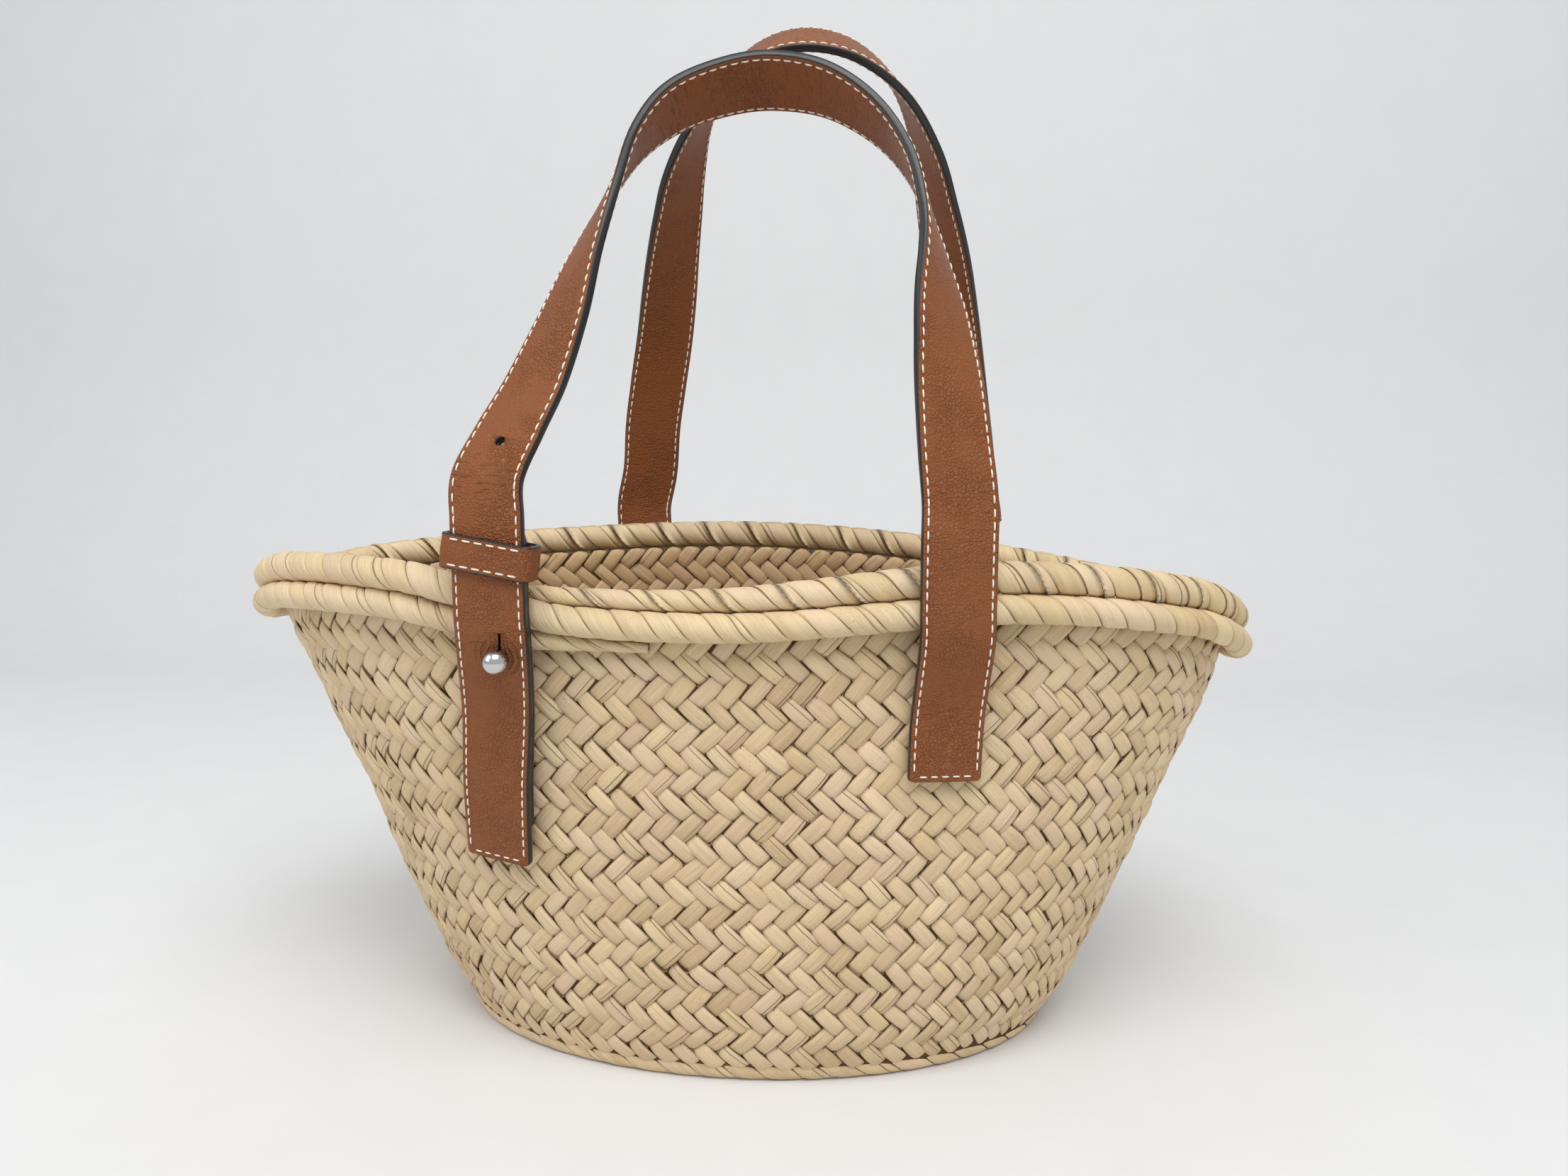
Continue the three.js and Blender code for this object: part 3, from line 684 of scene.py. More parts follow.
def strip_cells(random, columns, rows, pitch_share):
    """Places of all strips in units of columns and rows, each a grid of along and across."""
    row = np.repeat(np.arange(rows), columns)
    column = np.tile(np.arange(columns), rows)
    count = len(row)
    falling = row % 2 == 0
    lean = np.where(falling, -1.0, 1.0)
    centre_x = column + 0.5 * row + random.normal(0, 0.025, count)
    centre_y = row + 0.5 + random.normal(0, 0.028, count)
    sway = random.normal(0, 0.05, (2, count))
    long_x = 0.5 * pitch_share * (1 + sway[0])
    long_y = 0.5 * lean * (1 + sway[1])
    wide = np.clip(random.normal(1.02, 0.045, count), 0.9, 1.1)
    wide_x = 0.25 * wide
    wide_y = -lean * 0.25 / pitch_share * wide
    u = ALONG_STEPS[None, :, None]
    w = ACROSS_STEPS[None, None, :]
    pick = (slice(None), None, None)
    taper = 1 - 0.08 * np.abs(u) ** 3
    x = centre_x[pick] + u * long_x[pick] + w * taper * wide_x[pick]
    y = centre_y[pick] + u * long_y[pick] + w * taper * wide_y[pick]
    crest = np.where(falling, 1.0, 0.78) * np.clip(random.normal(1, 0.14, count), 0.7, 1.35)
    tilt = random.normal(0, 0.12, count)
    drop = ACROSS_DROP[None, None, :] + 0 * u
    lift = crest[pick] * (1 - np.abs(u / STRIP_ENDS) ** 4) - drop + tilt[pick] * w
    lift = np.maximum(lift, DEEPEST)
    # Falling strips are a little lighter in tone and rising strips a little darker.
    tone = np.clip(random.normal(0.55, 0.24, count) + np.where(falling, 0.1, -0.14), 0, 1)
    seed = random.random(count)
    return {"x": x, "y": y, "lift": lift, "tone": tone, "seed": seed, "falling": falling}


def strip_mesh(name, cells, place, material, length, flip=False):
    """One mesh of all strips, with place() giving each point from cell units and lift."""
    count, along, across = cells["x"].shape
    points = place(cells["x"], cells["y"], cells["lift"]).reshape(-1, 3)
    one = grid_faces(along, across)
    if flip:
        one = one[:, ::-1]
    faces = (one[None] + (np.arange(count) * along * across)[:, None, None]).reshape(-1, 4)
    strip = np.empty((count, along, across, 3))
    strip[..., 0] = ALONG_STEPS[None, :, None] * length / 2
    strip[..., 1] = ACROSS_STEPS[None, None, :]
    strip[..., 2] = cells["seed"][:, None, None]
    tone = np.broadcast_to(cells["tone"][:, None, None], (count, along, across))
    # Painted shade towards each strip's edges and ends.
    shade = np.maximum(ALONG_SHADE[:, None], ACROSS_SHADE[None, :])
    shade = np.broadcast_to(shade[None], (count, along, across))
    attributes = {"strip": strip.reshape(-1, 3), "tone": tone.ravel(), "painted_edge_shade": shade.ravel()}
    return mesh_object(name, points, faces, [material], attributes=attributes)


def keep_cells(cells, mask):
    return {name: values[mask] for name, values in cells.items()}


def wall_placer(arcs, columns, rows, low, offset, direction):
    """Turns cell units into points on the wall, direction 1 outside and -1 inside."""
    def place(x, y, lift):
        share = low + (1 - low) * y / rows
        turn = turn_at(arcs, x / columns, share)
        return wall_point(turn, np.clip(share, 0, 1), offset + direction * lift)
    return place


class BagPlait(bpy.types.Operator):
    """Plaits the wall and the bottom of the basket from flat palm strips"""

    bl_idname = "bag.plait"
    bl_label = "Plaited wall"

    def execute(self, context):
        wishes = context.scene.bag_plait
        colours = (tuple(wishes.light), tuple(wishes.dark), tuple(wishes.shadow))
        palm = once("palm_strip", palm_material, *colours)
        # The dark sheet behind the strips is painted shade for their gaps.
        gap_shade = once("palm_gap", gap_shade_material, tuple(wishes.shadow))
        pitch = wishes.pitch / MM
        bulge = wishes.bulge / MM
        columns, rows = wishes.columns, wishes.rows
        row_height = (WALL_HEIGHT - PLAIT_START) / rows
        arcs = arc_table(pitch, columns)
        random = np.random.default_rng(11)
        length = row_height * math.sqrt(2)
        # The inner plait and the bottom take a darker, browner copy of the palm colours.
        inside_colours = (tuple(wishes.inside_light), tuple(wishes.inside_dark), colours[2])
        lining = once("palm_inside", palm_material, *inside_colours)
        sides = (("outer_plait", OUTER_OFFSET, 1, palm), ("inner_plait", INNER_OFFSET, -1, lining))
        for name, offset, direction, look in sides:
            cells = strip_cells(random, columns, rows, row_height / pitch)
            cells["lift"] *= bulge
            place = wall_placer(arcs, columns, rows, PLAIT_START / WALL_HEIGHT, offset, direction)
            obj = strip_mesh(name, cells, place, look, length, flip=direction < 0)
            finish_piece(obj, "woven_palm", "basket_body")
        finish_piece(wall_core(gap_shade), "woven_palm", "basket_body")
        bottom = bottom_plait(random, lining, pitch, row_height, bulge)
        finish_piece(bottom, "woven_palm", "basket_body")
        return {"FINISHED"}


def wall_core(material):
    """The closed shell behind the strips, which shows only in their gaps: a dark sheet of painted shade."""
    turns = np.linspace(0, 360, 181)[:-1]
    levels = np.linspace(0.03, 0.995, 40)
    outer = [wall_point(turns, share, CORE_OUTSIDE) for share in levels]
    inner = [wall_point(turns, share, CORE_INSIDE) for share in levels[::-1]]
    rings = np.array(outer + inner)
    rings[0, :, 2] = CORE_UNDERSIDE
    rings[-1, :, 2] = CORE_FLOOR
    faces = grid_faces(len(rings), len(turns), closed=True).tolist()
    for ring in (0, len(rings) - 1):
        faces.append([ring * len(turns) + step for step in range(len(turns))])
    obj = mesh_object("gap_shade_core", rings.reshape(-1, 3), faces, [material], smooth=False)
    face_outwards(obj)
    return obj


def bottom_plait(random, material, pitch, row_height, bulge):
    """Strips of the bottom, seen from above inside and from below."""
    half_length = MOUTH_LENGTH / 2 * OUTLINE["length"][0]
    half_depth = MOUTH_DEPTH / 2 * OUTLINE["depth"][0]
    shift = MOUTH_LENGTH / 2 * OUTLINE["shift"][0]
    columns = int(2 * half_length / pitch) + 2
    rows = int(2 * half_depth / row_height) + 2
    cells = strip_cells(random, columns, rows, row_height / pitch)
    cells["lift"] *= bulge
    middle_x = (np.mod(cells["x"][:, 4, 2], columns) - columns / 2) * pitch
    middle_y = (cells["y"][:, 4, 2] - rows / 2) * row_height
    power = OUTLINE["square"][0]
    along = np.abs(middle_x / (half_length - BOTTOM_MARGIN)) ** power
    across = np.abs(middle_y / (half_depth - BOTTOM_MARGIN)) ** power
    inside = along + across < 1
    cells = keep_cells(cells, inside)
    shift_back = np.floor(cells["x"][:, 4:5, 2:3] / columns) * columns

    def place_at(level, direction):
        def place(x, y, lift):
            flat_x = (x - shift_back - columns / 2) * pitch + shift
            flat_y = (y - rows / 2) * row_height
            return np.stack([flat_x, flat_y, level + direction * lift], -1)
        return place

    length = row_height * math.sqrt(2)
    above, below = place_at(BOTTOM_UPPER_LEVEL, 1), place_at(BOTTOM_LOWER_LEVEL, -1)
    upper = strip_mesh("bottom_plait", cells, above, material, length, flip=True)
    lower = strip_mesh("bottom_plait_under", cells, below, material, length)
    return join_objects(upper, lower)


def join_objects(first, *others):
    """Joins meshes into the first one, with its materials matched by name."""
    with bpy.context.temp_override(active_object=first, selected_editable_objects=[first, *others]):
        bpy.ops.object.join()
    return first


# Wrapped rolls: the rim and the foot

ROLL_SIDES = 16
WRAP_STEPS = np.array([0.0, 0.035, 0.11, 0.34, 0.6, 0.83, 0.95, 0.985])
WRAP_LIFT = np.array([-0.85, 0.0, 0.22, 0.3, 0.22, 0.08, -0.12, -0.6])
WRAP_SHADE = np.array([0.85, 0.2, 0, 0, 0, 0, 0.15, 0.7])

FOOT_SET_BACK = 0.25
FOOT_LEVEL = 3.95
FOOT_THINNING = 0.2
FOOT_ROLL_HEIGHT = 7.1
FOOT_PITCH = 11.5
FOOT_STRANDS = 2
FOOT_LIFT = 0.8

# The angles past the seam between which the rim roll changes
ROLL_CHANGES = {
    "grow": (-6, 50),
    "step_out": (332, 351),
    "step_down": (346, 368),
    "step_under": (704, 724),
    "taper": (718, 720 + TAIL_TURN),
}


def roll_centre(turn):
    """The roll's centre and diameter at angles that count on past a full turn."""
    passed = turn - SEAM_ANGLE
    grown, outside, second, third, tapered = (ease(*span, passed) for span in ROLL_CHANGES.values())
    upper = ROLL_DIAMETER * mix(START_THINNING, 1, grown)
    lower = mix(upper, LOWER_ROLL_DIAMETER, second)
    diameter = lower * mix(1, TAIL_THINNING, third) * mix(1, TIP_THINNING, tapered)
    wall_top = wall_point(turn, 1)[..., 2]
    seat = ROLL_DIAMETER / 2 + GAP
    height = wall_top + mix(upper / 2 + GAP, seat - COURSE_DROP, second) - TAIL_DROP * third
    out = mix(COURSE_OVERHANG, diameter / 2 + SEAT_GAP, outside)
    centre = wall_point(turn, np.minimum(height / wall_top, 1), out)
    centre[..., 2] = height
    return centre, diameter


def wrap_edges(total, pitch, strands, random, closed):
    """Where each wrap starts along the roll, with as many wraps past its ends as it has strands."""
    wraps = int(round(total / pitch))
    jitter = random.normal(0, 0.09, wraps + 1)
    edges = (np.arange(wraps + 1) + jitter) * total / wraps
    edges[0] = 0
    edges[-1] = total
    if closed:
        return np.concatenate([edges, total + edges[1:strands + 1]])
    spread = total / wraps
    before = -np.arange(strands, 0, -1) * spread
    return np.concatenate([before, edges, total + np.arange(1, strands + 1) * spread])


def roll_faces(rows, lead, closed):
    """Quads of a roll whose last side joins the first one, lead rows further on."""
    faces = []
    for side in range(ROLL_SIDES):
        last = side == ROLL_SIDES - 1
        following = (side + 1) % ROLL_SIDES
        for near in range(rows if closed else rows - 1):
            far = near + 1
            near_next, far_next = (near + lead, far + lead) if last else (near, far)
            if closed:
                far, near_next, far_next = far % rows, near_next % rows, far_next % rows
            elif far_next >= rows:
                continue
            faces.append((near * ROLL_SIDES + side, near_next * ROLL_SIDES + following,
                          far_next * ROLL_SIDES + following, far * ROLL_SIDES + side))
    return faces


def along_path(centres, length, bound, closed):
    """The path's direction at each length on it."""
    total = length[-1]
    step = total / 2000
    limit = (lambda at: np.mod(at, total)) if closed else (lambda at: np.clip(at, 0, total))
    ahead, behind = limit(bound + step), limit(bound - step)
    return unit(np.stack([
        np.interp(ahead, length, centres[:, axis]) - np.interp(behind, length, centres[:, axis])
        for axis in range(3)
    ], -1))


def wrapped_roll(name, centres, widths, heights, pitch, strands, random, material, closed=False, lift=1.0):
    """A roll along a path, wrapped with strips whose bulge is in the mesh."""
    gaps = np.linalg.norm(np.diff(centres, axis=0), axis=1)
    length = np.concatenate([[0], np.cumsum(gaps)])
    total = length[-1]
    edges = wrap_edges(total, pitch, strands, random, closed)
    samples = len(WRAP_STEPS)
    stations = (edges[:-1, None] + WRAP_STEPS[None, :] * np.diff(edges)[:, None]).ravel()
    lead = strands * samples
    rows = len(stations) - lead
    share = np.arange(ROLL_SIDES) / ROLL_SIDES
    at = mix(stations[:rows, None], stations[lead:lead + rows, None], share[None, :])
    bound = np.mod(at, total) if closed else np.clip(at, 0, total)
    centre = np.stack([np.interp(bound, length, centres[:, axis]) for axis in range(3)], -1)
    along = along_path(centres, length, bound, closed)
    out = unit(np.stack([along[..., 1], -along[..., 0], 0 * along[..., 0]], -1))
    up = np.cross(out, along)
    angle = -2 * np.pi * share[None, :] + np.pi / 2
    copies = rows // samples + 1
    crest = np.tile(WRAP_LIFT * lift, copies)[:rows, None]
    plump = np.repeat(1 + random.normal(0, 0.2, copies), samples)[:rows, None]
    swell = crest * np.where(crest > 0, plump, 1)
    half_width = np.interp(bound, length, widths) / 2 + swell
    half_height = np.interp(bound, length, heights) / 2 + swell
    points = (centre + out * (half_width * np.cos(angle))[..., None]
              + up * (half_height * np.sin(angle))[..., None])
    wrap = np.arange(rows) // samples
    strip = np.empty((rows, ROLL_SIDES, 3))
    strip[..., 0] = share[None, :] * np.pi * widths.mean() + (wrap * 3.7)[:, None]
    strip[..., 1] = np.tile(WRAP_STEPS * 2 - 1, copies)[:rows, None]
    tones = np.clip(random.normal(0.55, 0.2, wrap.max() + 1), 0, 1)
    seeds = random.random(wrap.max() + 1)
    strip[..., 2] = seeds[wrap][:, None]
    tone = np.broadcast_to(tones[wrap][:, None], (rows, ROLL_SIDES))
    # Painted shade towards each wrap's edges.
    shade = np.broadcast_to(np.tile(WRAP_SHADE, copies)[:rows, None], (rows, ROLL_SIDES))
    attributes = {"strip": strip.reshape(-1, 3), "tone": tone.ravel(), "painted_edge_shade": shade.ravel()}
    faces = roll_faces(rows, lead, closed)
    obj = mesh_object(name, points.reshape(-1, 3), faces, [material], attributes=attributes)
    face_outwards(obj)
    return obj


class BagRim(bpy.types.Operator):
    """Wraps the rim roll, which goes round twice and ends under itself"""

    bl_idname = "bag.rim"
    bl_label = "Rim roll"

    def execute(self, context):
        wishes = context.scene.bag_rim
        shadow = tuple(context.scene.bag_plait.shadow)
        material = once("palm_wrap", palm_material, tuple(wishes.light), tuple(wishes.dark), shadow)
        turns = SEAM_ANGLE + np.linspace(0, 720 + TAIL_TURN, 2200)
        centres, diameters = roll_centre(turns)
        obj = wrapped_roll(
            "rim_wraps", centres, diameters, diameters, wishes.pitch / MM, wishes.strands,
            np.random.default_rng(23), material,
        )
        finish_piece(obj, "rim_palm", "rim_roll")
        return {"FINISHED"}


class BagFoot(bpy.types.Operator):
    """Braids the foot edge that the wall's last row covers"""

    bl_idname = "bag.foot"
    bl_label = "Foot braid"

    def execute(self, context):
        palm = bpy.data.materials["palm_strip"]
        turns = np.linspace(0, 360, 721)
        centres = wall_point(turns, FOOT_SHARE / 2, -FOOT_THICKNESS / 2 - FOOT_SET_BACK)
        centres[:, 2] = FOOT_LEVEL
        widths = np.full(len(turns), FOOT_THICKNESS - FOOT_THINNING)
        heights = np.full(len(turns), FOOT_ROLL_HEIGHT)
        obj = wrapped_roll(
            "foot_wraps", centres, widths, heights, FOOT_PITCH, FOOT_STRANDS,
            np.random.default_rng(31), palm, closed=True, lift=FOOT_LIFT,
        )
        finish_piece(obj, "woven_palm", "foot_braid")
        return {"FINISHED"}


# Handles

TAB_STANDOFF = GAP + TAB_THICKNESS


def roll_face(side, x):
    angle, _ = wall_place(side, x, WALL_HEIGHT * 0.9)
    centre = wall_point(angle, 0.97, LOWER_ROLL_DIAMETER + SEAT_GAP)
    return abs(centre[1]), wall_point(angle, 1)[2]


def wall_turn(side, x, height):
    angle, share = wall_place(side, x, height)
    along = wall_point(angle + 2, share) - wall_point(angle - 2, share)
    return math.degrees(math.atan2(abs(along[1]), abs(along[0])))


def leg_stations(side, x, slant, end_height, has_tab):
    """The stations of one leg, from its end up to just over the rim: x, out, height, turn."""
    standoff = STRAP_SEAT + STRAP_THICKNESS / 2 + (TAB_STANDOFF if has_tab else 0)
    out, top = roll_face(side, x)
    over_roll = out + OVER_ROLL_GAP + STRAP_THICKNESS / 2
    if has_tab:
        over_roll += TAB_STANDOFF + KEEPER_THICKNESS + GAP
    leave = top - LEG_LEAVE
    stations = []
    for height in (end_height, (end_height + leave) / 2, leave):
        here = x + side * slant * ease(top, end_height, height)
        angle, share = wall_place(side, here, height)
        wall_out = abs(wall_point(angle, share, standoff)[1])
        chord = mix(stations[0][1] if stations else 0, over_roll,
                    (height - end_height) / (top + LEG_UNDER_ROLL - end_height))
        pull = max(chord - wall_out, 0) * TAB_LEG_TAUT if has_tab and height > end_height else 0
        stations.append((here, wall_out + pull, height, wall_turn(side, here, height)))
    slope = wall_turn(side, x, top - 10)
    for over in TAB_LEG_HEIGHTS if has_tab else PLAIN_LEG_HEIGHTS:
        relax = (over_roll - stations[2][1]) * LEG_RELAX if over == LEG_UNDER_ROLL else 0
        stations.append((x, over_roll - relax, top + over, slope))
    return stations


def strap_path(side, span, shift, reach, rise, arch):
    """Places and width directions of a handle, from the keeper's leg to the plain leg."""
    mirror = 1 if side < 0 else -1
    keeper_x = mirror * (-span / 2) + shift
    plain_x = mirror * (span / 2) + shift
    rows = [(x, out, height, turn, 0) for x, out, height, turn
            in leg_stations(side, keeper_x, KEEPER_LEG_SLANT, LONG_END_HEIGHT, True)]
    rows += list(zip(
        mirror * arch["across"] * span / 2 + shift, arch["out"] * reach,
        WALL_HEIGHT + arch["rise"] * rise, arch["turn"], arch["lean"],
    ))
    plain = leg_stations(side, plain_x, PLAIN_LEG_SLANT, SHORT_END_HEIGHT, False)[::-1]
    rows += [(x, out, height, 180 - turn, 0) for x, out, height, turn in plain]
    x, out, height, turn, lean = np.array(rows, float).T
    places = np.stack([x, side * out, height], -1)
    widths = np.stack([
        mirror * np.cos(np.radians(turn)), -mirror * np.sin(np.radians(turn)), lean,
    ], -1)
    return places, widths


class StrapCurve:
    """A handle's curve: frames at any length along it, in millimetres from the keeper's leg."""

    def __init__(self, places, widths):
        self.places = places
        self.widths = widths
        self.shares = np.linspace(0, 1, 2001)
        fine = self.at_share(self.places, self.shares)
        self.lengths = np.concatenate([[0], np.cumsum(np.linalg.norm(np.diff(fine, axis=0), axis=1))])
        self.total = self.lengths[-1]
        self.heights = fine[:, 2]

    def at_share(self, rows, share):
        last = len(rows) - 1
        place = np.clip(share, 0, 1) * last
        row = np.minimum(np.floor(place).astype(int), last - 1)
        near = [rows[np.clip(row + step, 0, last)] for step in (-1, 0, 1, 2)]
        return curved(*near, (place - row)[..., None])

    def frame(self, length):
        """The place, the direction along, the width's direction and the outer face's normal."""
        share = np.interp(length, self.lengths, self.shares)
        place = self.at_share(self.places, share)
        along = unit(self.at_share(self.places, share + 0.002) - self.at_share(self.places, share - 0.002))
        width = self.at_share(self.widths, share)
        width = unit(width - along * np.sum(width * along, -1, keepdims=True))
        return place, along, width, np.cross(width, along)

    def frame_at(self, height):
        """The frame at which the keeper's leg reaches a height."""
        return tuple(part[0] for part in self.frame(np.array([self.length_at(height)])))

    def bend(self, length):
        """How strongly the strap bends, from 0 to 1."""
        ahead, behind = self.frame(length + 5)[1], self.frame(length - 5)[1]
        return np.clip(np.linalg.norm(ahead - behind, axis=-1) * 2.2, 0, 1)

    def length_at(self, height):
        """The length at which the keeper's leg reaches a height."""
        half = int(np.argmax(self.heights))
        return np.interp(height, self.heights[:half], self.lengths[:half])


LEATHER, EDGE = 0, 1
CORNER_RADIUS = 1.3
CORNER_STEPS = np.array([0, 0.25, 0.7, 1.3])
ROUND_STEPS = np.array([0, 0.04, 0.14, 0.3, 0.55, 0.8])
STITCH_STAND = 0.02


def ribbon_section(width, thickness, inset):
    """Across and out of a strap's section, with soft painted edges and a pressed seam line."""
    half, thick = width / 2, thickness / 2
    seam = half - inset
    press = 0.14
    face = [(half - 0.62, thick - 0.08), (half - 0.9, thick), (seam, thick - press), (seam - 0.9, thick),
            (seam * 0.6, thick + 0.08), (0, thick + 0.12)]
    edge = [(half, thick * 0.35), (half - 0.14, thick * 0.75), (half - 0.34, thick - 0.2)]
    right_top = edge + face
    top = right_top + [(-across, out) for across, out in right_top[-2::-1]]
    bottom = [(across, -out) for across, out in top[::-1]]
    section = np.array(top + bottom)
    painted = np.array([abs(across) > half - 0.5 for across, _ in section])
    return section, painted


def narrowing(distance, radius):
    """How much a rounded corner takes off the half width at a distance from the end."""
    left = np.clip(1 - distance / radius, 0, 1)
    return radius * (1 - np.sqrt(1 - left * left))


def ribbon(name, curve, start, end, width, thickness, lift, inset, stud_length, materials, round_end=0.0):
    """A strip of leather along a handle's curve, closed, with painted edges."""
    steps = np.arange(start + 2.4, end - 2.0, 1.9)
    far = round_end * ROUND_STEPS if round_end else CORNER_STEPS
    steps = steps[(steps > start + CORNER_STEPS[-1] + 0.6) & (steps < end - far[-1] - 0.6)]
    lengths = np.concatenate([start + CORNER_STEPS, steps, end - far[::-1]])
    section, painted = ribbon_section(width, thickness, inset)
    cut = narrowing(lengths - start, CORNER_RADIUS) + narrowing(end - lengths, round_end or CORNER_RADIUS)
    place, _, wide, out = curve.frame(lengths)
    across = section[None, :, 0] * (1 - cut[:, None] / (width / 2))
    points = (place[:, None] + wide[:, None] * across[..., None]
              + out[:, None] * (section[None, :, 1] + lift)[..., None])
    count = len(section)
    faces = grid_faces(len(lengths), count, closed=True).tolist()
    both = painted & np.roll(painted, -1)
    marks = np.tile(np.where(both, EDGE, LEATHER), len(lengths) - 1).tolist()
    for ring in (0, len(lengths) - 1):
        faces.append([ring * count + step for step in range(count)])
        marks.append(EDGE)
    hide = np.empty((len(lengths), count, 3))
    hide[..., 0] = (lengths - stud_length)[:, None]
    hide[..., 1] = across - STUD_SHIFT
    hide[..., 2] = np.sign(section[None, :, 1])
    bend = np.broadcast_to(curve.bend(lengths)[:, None], (len(lengths), count))
    attributes = {"hide": hide.reshape(-1, 3), "bend": bend.ravel()}
    obj = mesh_object(name, points.reshape(-1, 3), faces, materials, marks, attributes)
    face_outwards(obj)
    return obj


def stitch_shape():
    """A thread's short loop as rings round its length, in shares of its half sizes."""
    turns = np.linspace(0, 2 * np.pi, 7)[:-1]
    rings = [(-1.0, 0.25, -0.9), (-0.72, 0.85, -0.1), (0.0, 1.0, 0.25)]
    rings += [(-along, radius, rise) for along, radius, rise in rings[-2::-1]]
    points = [(along, radius * np.cos(turn), radius * np.sin(turn) + rise)
              for along, radius, rise in rings for turn in turns]
    faces = grid_faces(len(rings), len(turns), closed=True).tolist()
    count = len(turns)
    faces.append(list(range(count))[::-1])
    faces.append([(len(rings) - 1) * count + step for step in range(count)])
    return np.array(points), faces


def stitches(name, places, along, out, length, diameter, material):
    """One mesh of all stitches at the given places and directions."""
    shape, faces = stitch_shape()
    wide = np.cross(out, along)
    size = np.array([length / 2, diameter / 2, diameter / 2])
    local = shape * size
    points = (places[:, None] + along[:, None] * local[None, :, 0:1] + wide[:, None] * local[None, :, 1:2]
              + out[:, None] * local[None, :, 2:3])
    count = len(shape)
    shifted = [[corner + copy * count for corner in face] for copy in range(len(places)) for face in faces]
    obj = mesh_object(name, points.reshape(-1, 3), shifted, [material])
    face_outwards(obj)
    return obj


def seam_places(curve, wishes):
    """Stitch places, directions and normals along both edges and across both ends of a strap."""
    pitch = wishes.stitch_pitch / MM
    inset = wishes.stitch_inset / MM
    run = curve.total - 2 * inset
    count = int(run / pitch)
    lengths = inset + pitch * (np.arange(count) + 0.5) + (run - count * pitch) / 2
    place, along, wide, out = curve.frame(lengths)
    row = int((STRAP_WIDTH - 2 * inset) / pitch)
    across = (np.arange(row) + 0.5 - row / 2) * pitch
    found = []
    for face in (1, -1):
        height = face * (LEATHER_THICKNESS / 2 + STITCH_STAND)
        for edge in (1, -1):
            spot = place + wide * edge * (STRAP_WIDTH / 2 - inset) + out * height
            found.append((spot, along, out * face))
        for at in (inset, curve.total - inset):
            here, _, width_way, normal = curve.frame(np.full(row, at))
            spot = here + width_way * across[:, None] + normal * height
            found.append((spot, width_way, normal * face))
    return [np.concatenate(parts) for parts in zip(*found)]


def cutter(place, along, wide, out, diameter, slit):
    """A drill with the keyhole's or the spare hole's outline, through the strap."""
    radius = diameter / 2
    turns = np.linspace(0, 2 * np.pi, 25)[:-1] + np.pi / 2
    outline = [(radius * math.cos(turn), radius * math.sin(turn)) for turn in turns[1:]]
    if slit:
        half = SLIT_WIDTH / 2
        reach = math.sqrt(radius * radius - half * half)
        outline = [(-half, reach)] + [spot for spot in outline if spot[1] < reach or abs(spot[0]) > half]
        outline += [(half, reach), (half, radius + SLIT_LENGTH), (-half, radius + SLIT_LENGTH)]
    deep = STRAP_THICKNESS * 1.5
    points = [place + wide * x + along * y + out * z for z in (-deep, deep) for x, y in outline]
    count = len(outline)
    faces = [[i, (i + 1) % count, (i + 1) % count + count, i + count] for i in range(count)]
    faces.append(list(range(count))[::-1])
    faces.append(list(range(count, 2 * count)))
    obj = mesh_object("drill", points, faces, [bpy.data.materials["edge_paint"]])
    face_outwards(obj)
    return obj


def drill(obj, tool):
    """Cuts the tool out of the object and removes the tool."""
    modifier = obj.modifiers.new("hole", "BOOLEAN")
    modifier.operation = "DIFFERENCE"
    modifier.solver = "EXACT"
    modifier.object = tool
    modifier.material_mode = "TRANSFER"
    bpy.context.view_layer.update()
    cut = bpy.data.meshes.new_from_object(obj.evaluated_get(bpy.context.evaluated_depsgraph_get()))
    obj.modifiers.clear()
    obj.data = cut
    bpy.data.objects.remove(tool)


def stud_frame(curve):
    """The frame at the stud's middle on the strap."""
    place, along, wide, out = curve.frame_at(STUD_HEIGHT)
    return place + wide * STUD_SHIFT, along, wide, out


class BagHandles(bpy.types.Operator):
    """Cuts and sews the two straps with their anchor tabs"""

    bl_idname = "bag.handles"
    bl_label = "Straps and tabs"

    def execute(self, context):
        wishes = context.scene.bag_leather
        hide = once("smooth_leather", leather_material, tuple(wishes.leather))
        edge = once("edge_paint", plain_material, tuple(wishes.edge), roughness=0.32)
        thread_finish = {"roughness": 0.75, "grain_scale": 2400.0}
        thread = once("seam_thread", plain_material, tuple(wishes.thread), **thread_finish)
        inset = wishes.stitch_inset / MM
        for name, sizes in HANDLES.items():
            curve = StrapCurve(*strap_path(**sizes))
            stud_length = float(curve.length_at(STUD_HEIGHT))
            strap = ribbon(
                f"{name}_strap_leather", curve, 0, curve.total, STRAP_WIDTH, LEATHER_THICKNESS, 0, inset,
                stud_length, [hide, edge],
            )
            drill(strap, cutter(*stud_frame(curve), NECK_DIAMETER + 2 * GAP, True))
            drill(strap, cutter(*curve.frame_at(SPARE_HOLE_HEIGHT), SPARE_HOLE_DIAMETER, False))
            finish_piece(strap, "strap_leather", f"{name}_strap")
            seam = stitches(
                f"{name}_strap_seam", *seam_places(curve, wishes), wishes.stitch_length / MM,
                wishes.thread_diameter / MM, thread,
            )
            finish_piece(seam, "strap_leather", f"{name}_strap")
            low, high = float(curve.length_at(TAB_END_HEIGHT)), float(curve.length_at(TAB_TOP_HEIGHT))
            lift = -(STRAP_THICKNESS / 2 + GAP + TAB_THICKNESS / 2)
            tab = ribbon(
                f"{name}_tab_leather", curve, low, high, TAB_WIDTH, TAB_THICKNESS, lift, inset,
                stud_length, [hide, edge], round_end=TAB_WIDTH / 2,
            )
            finish_piece(tab, "strap_leather", f"{name}_anchor_tab")
        return {"FINISHED"}


# Keepers and studs

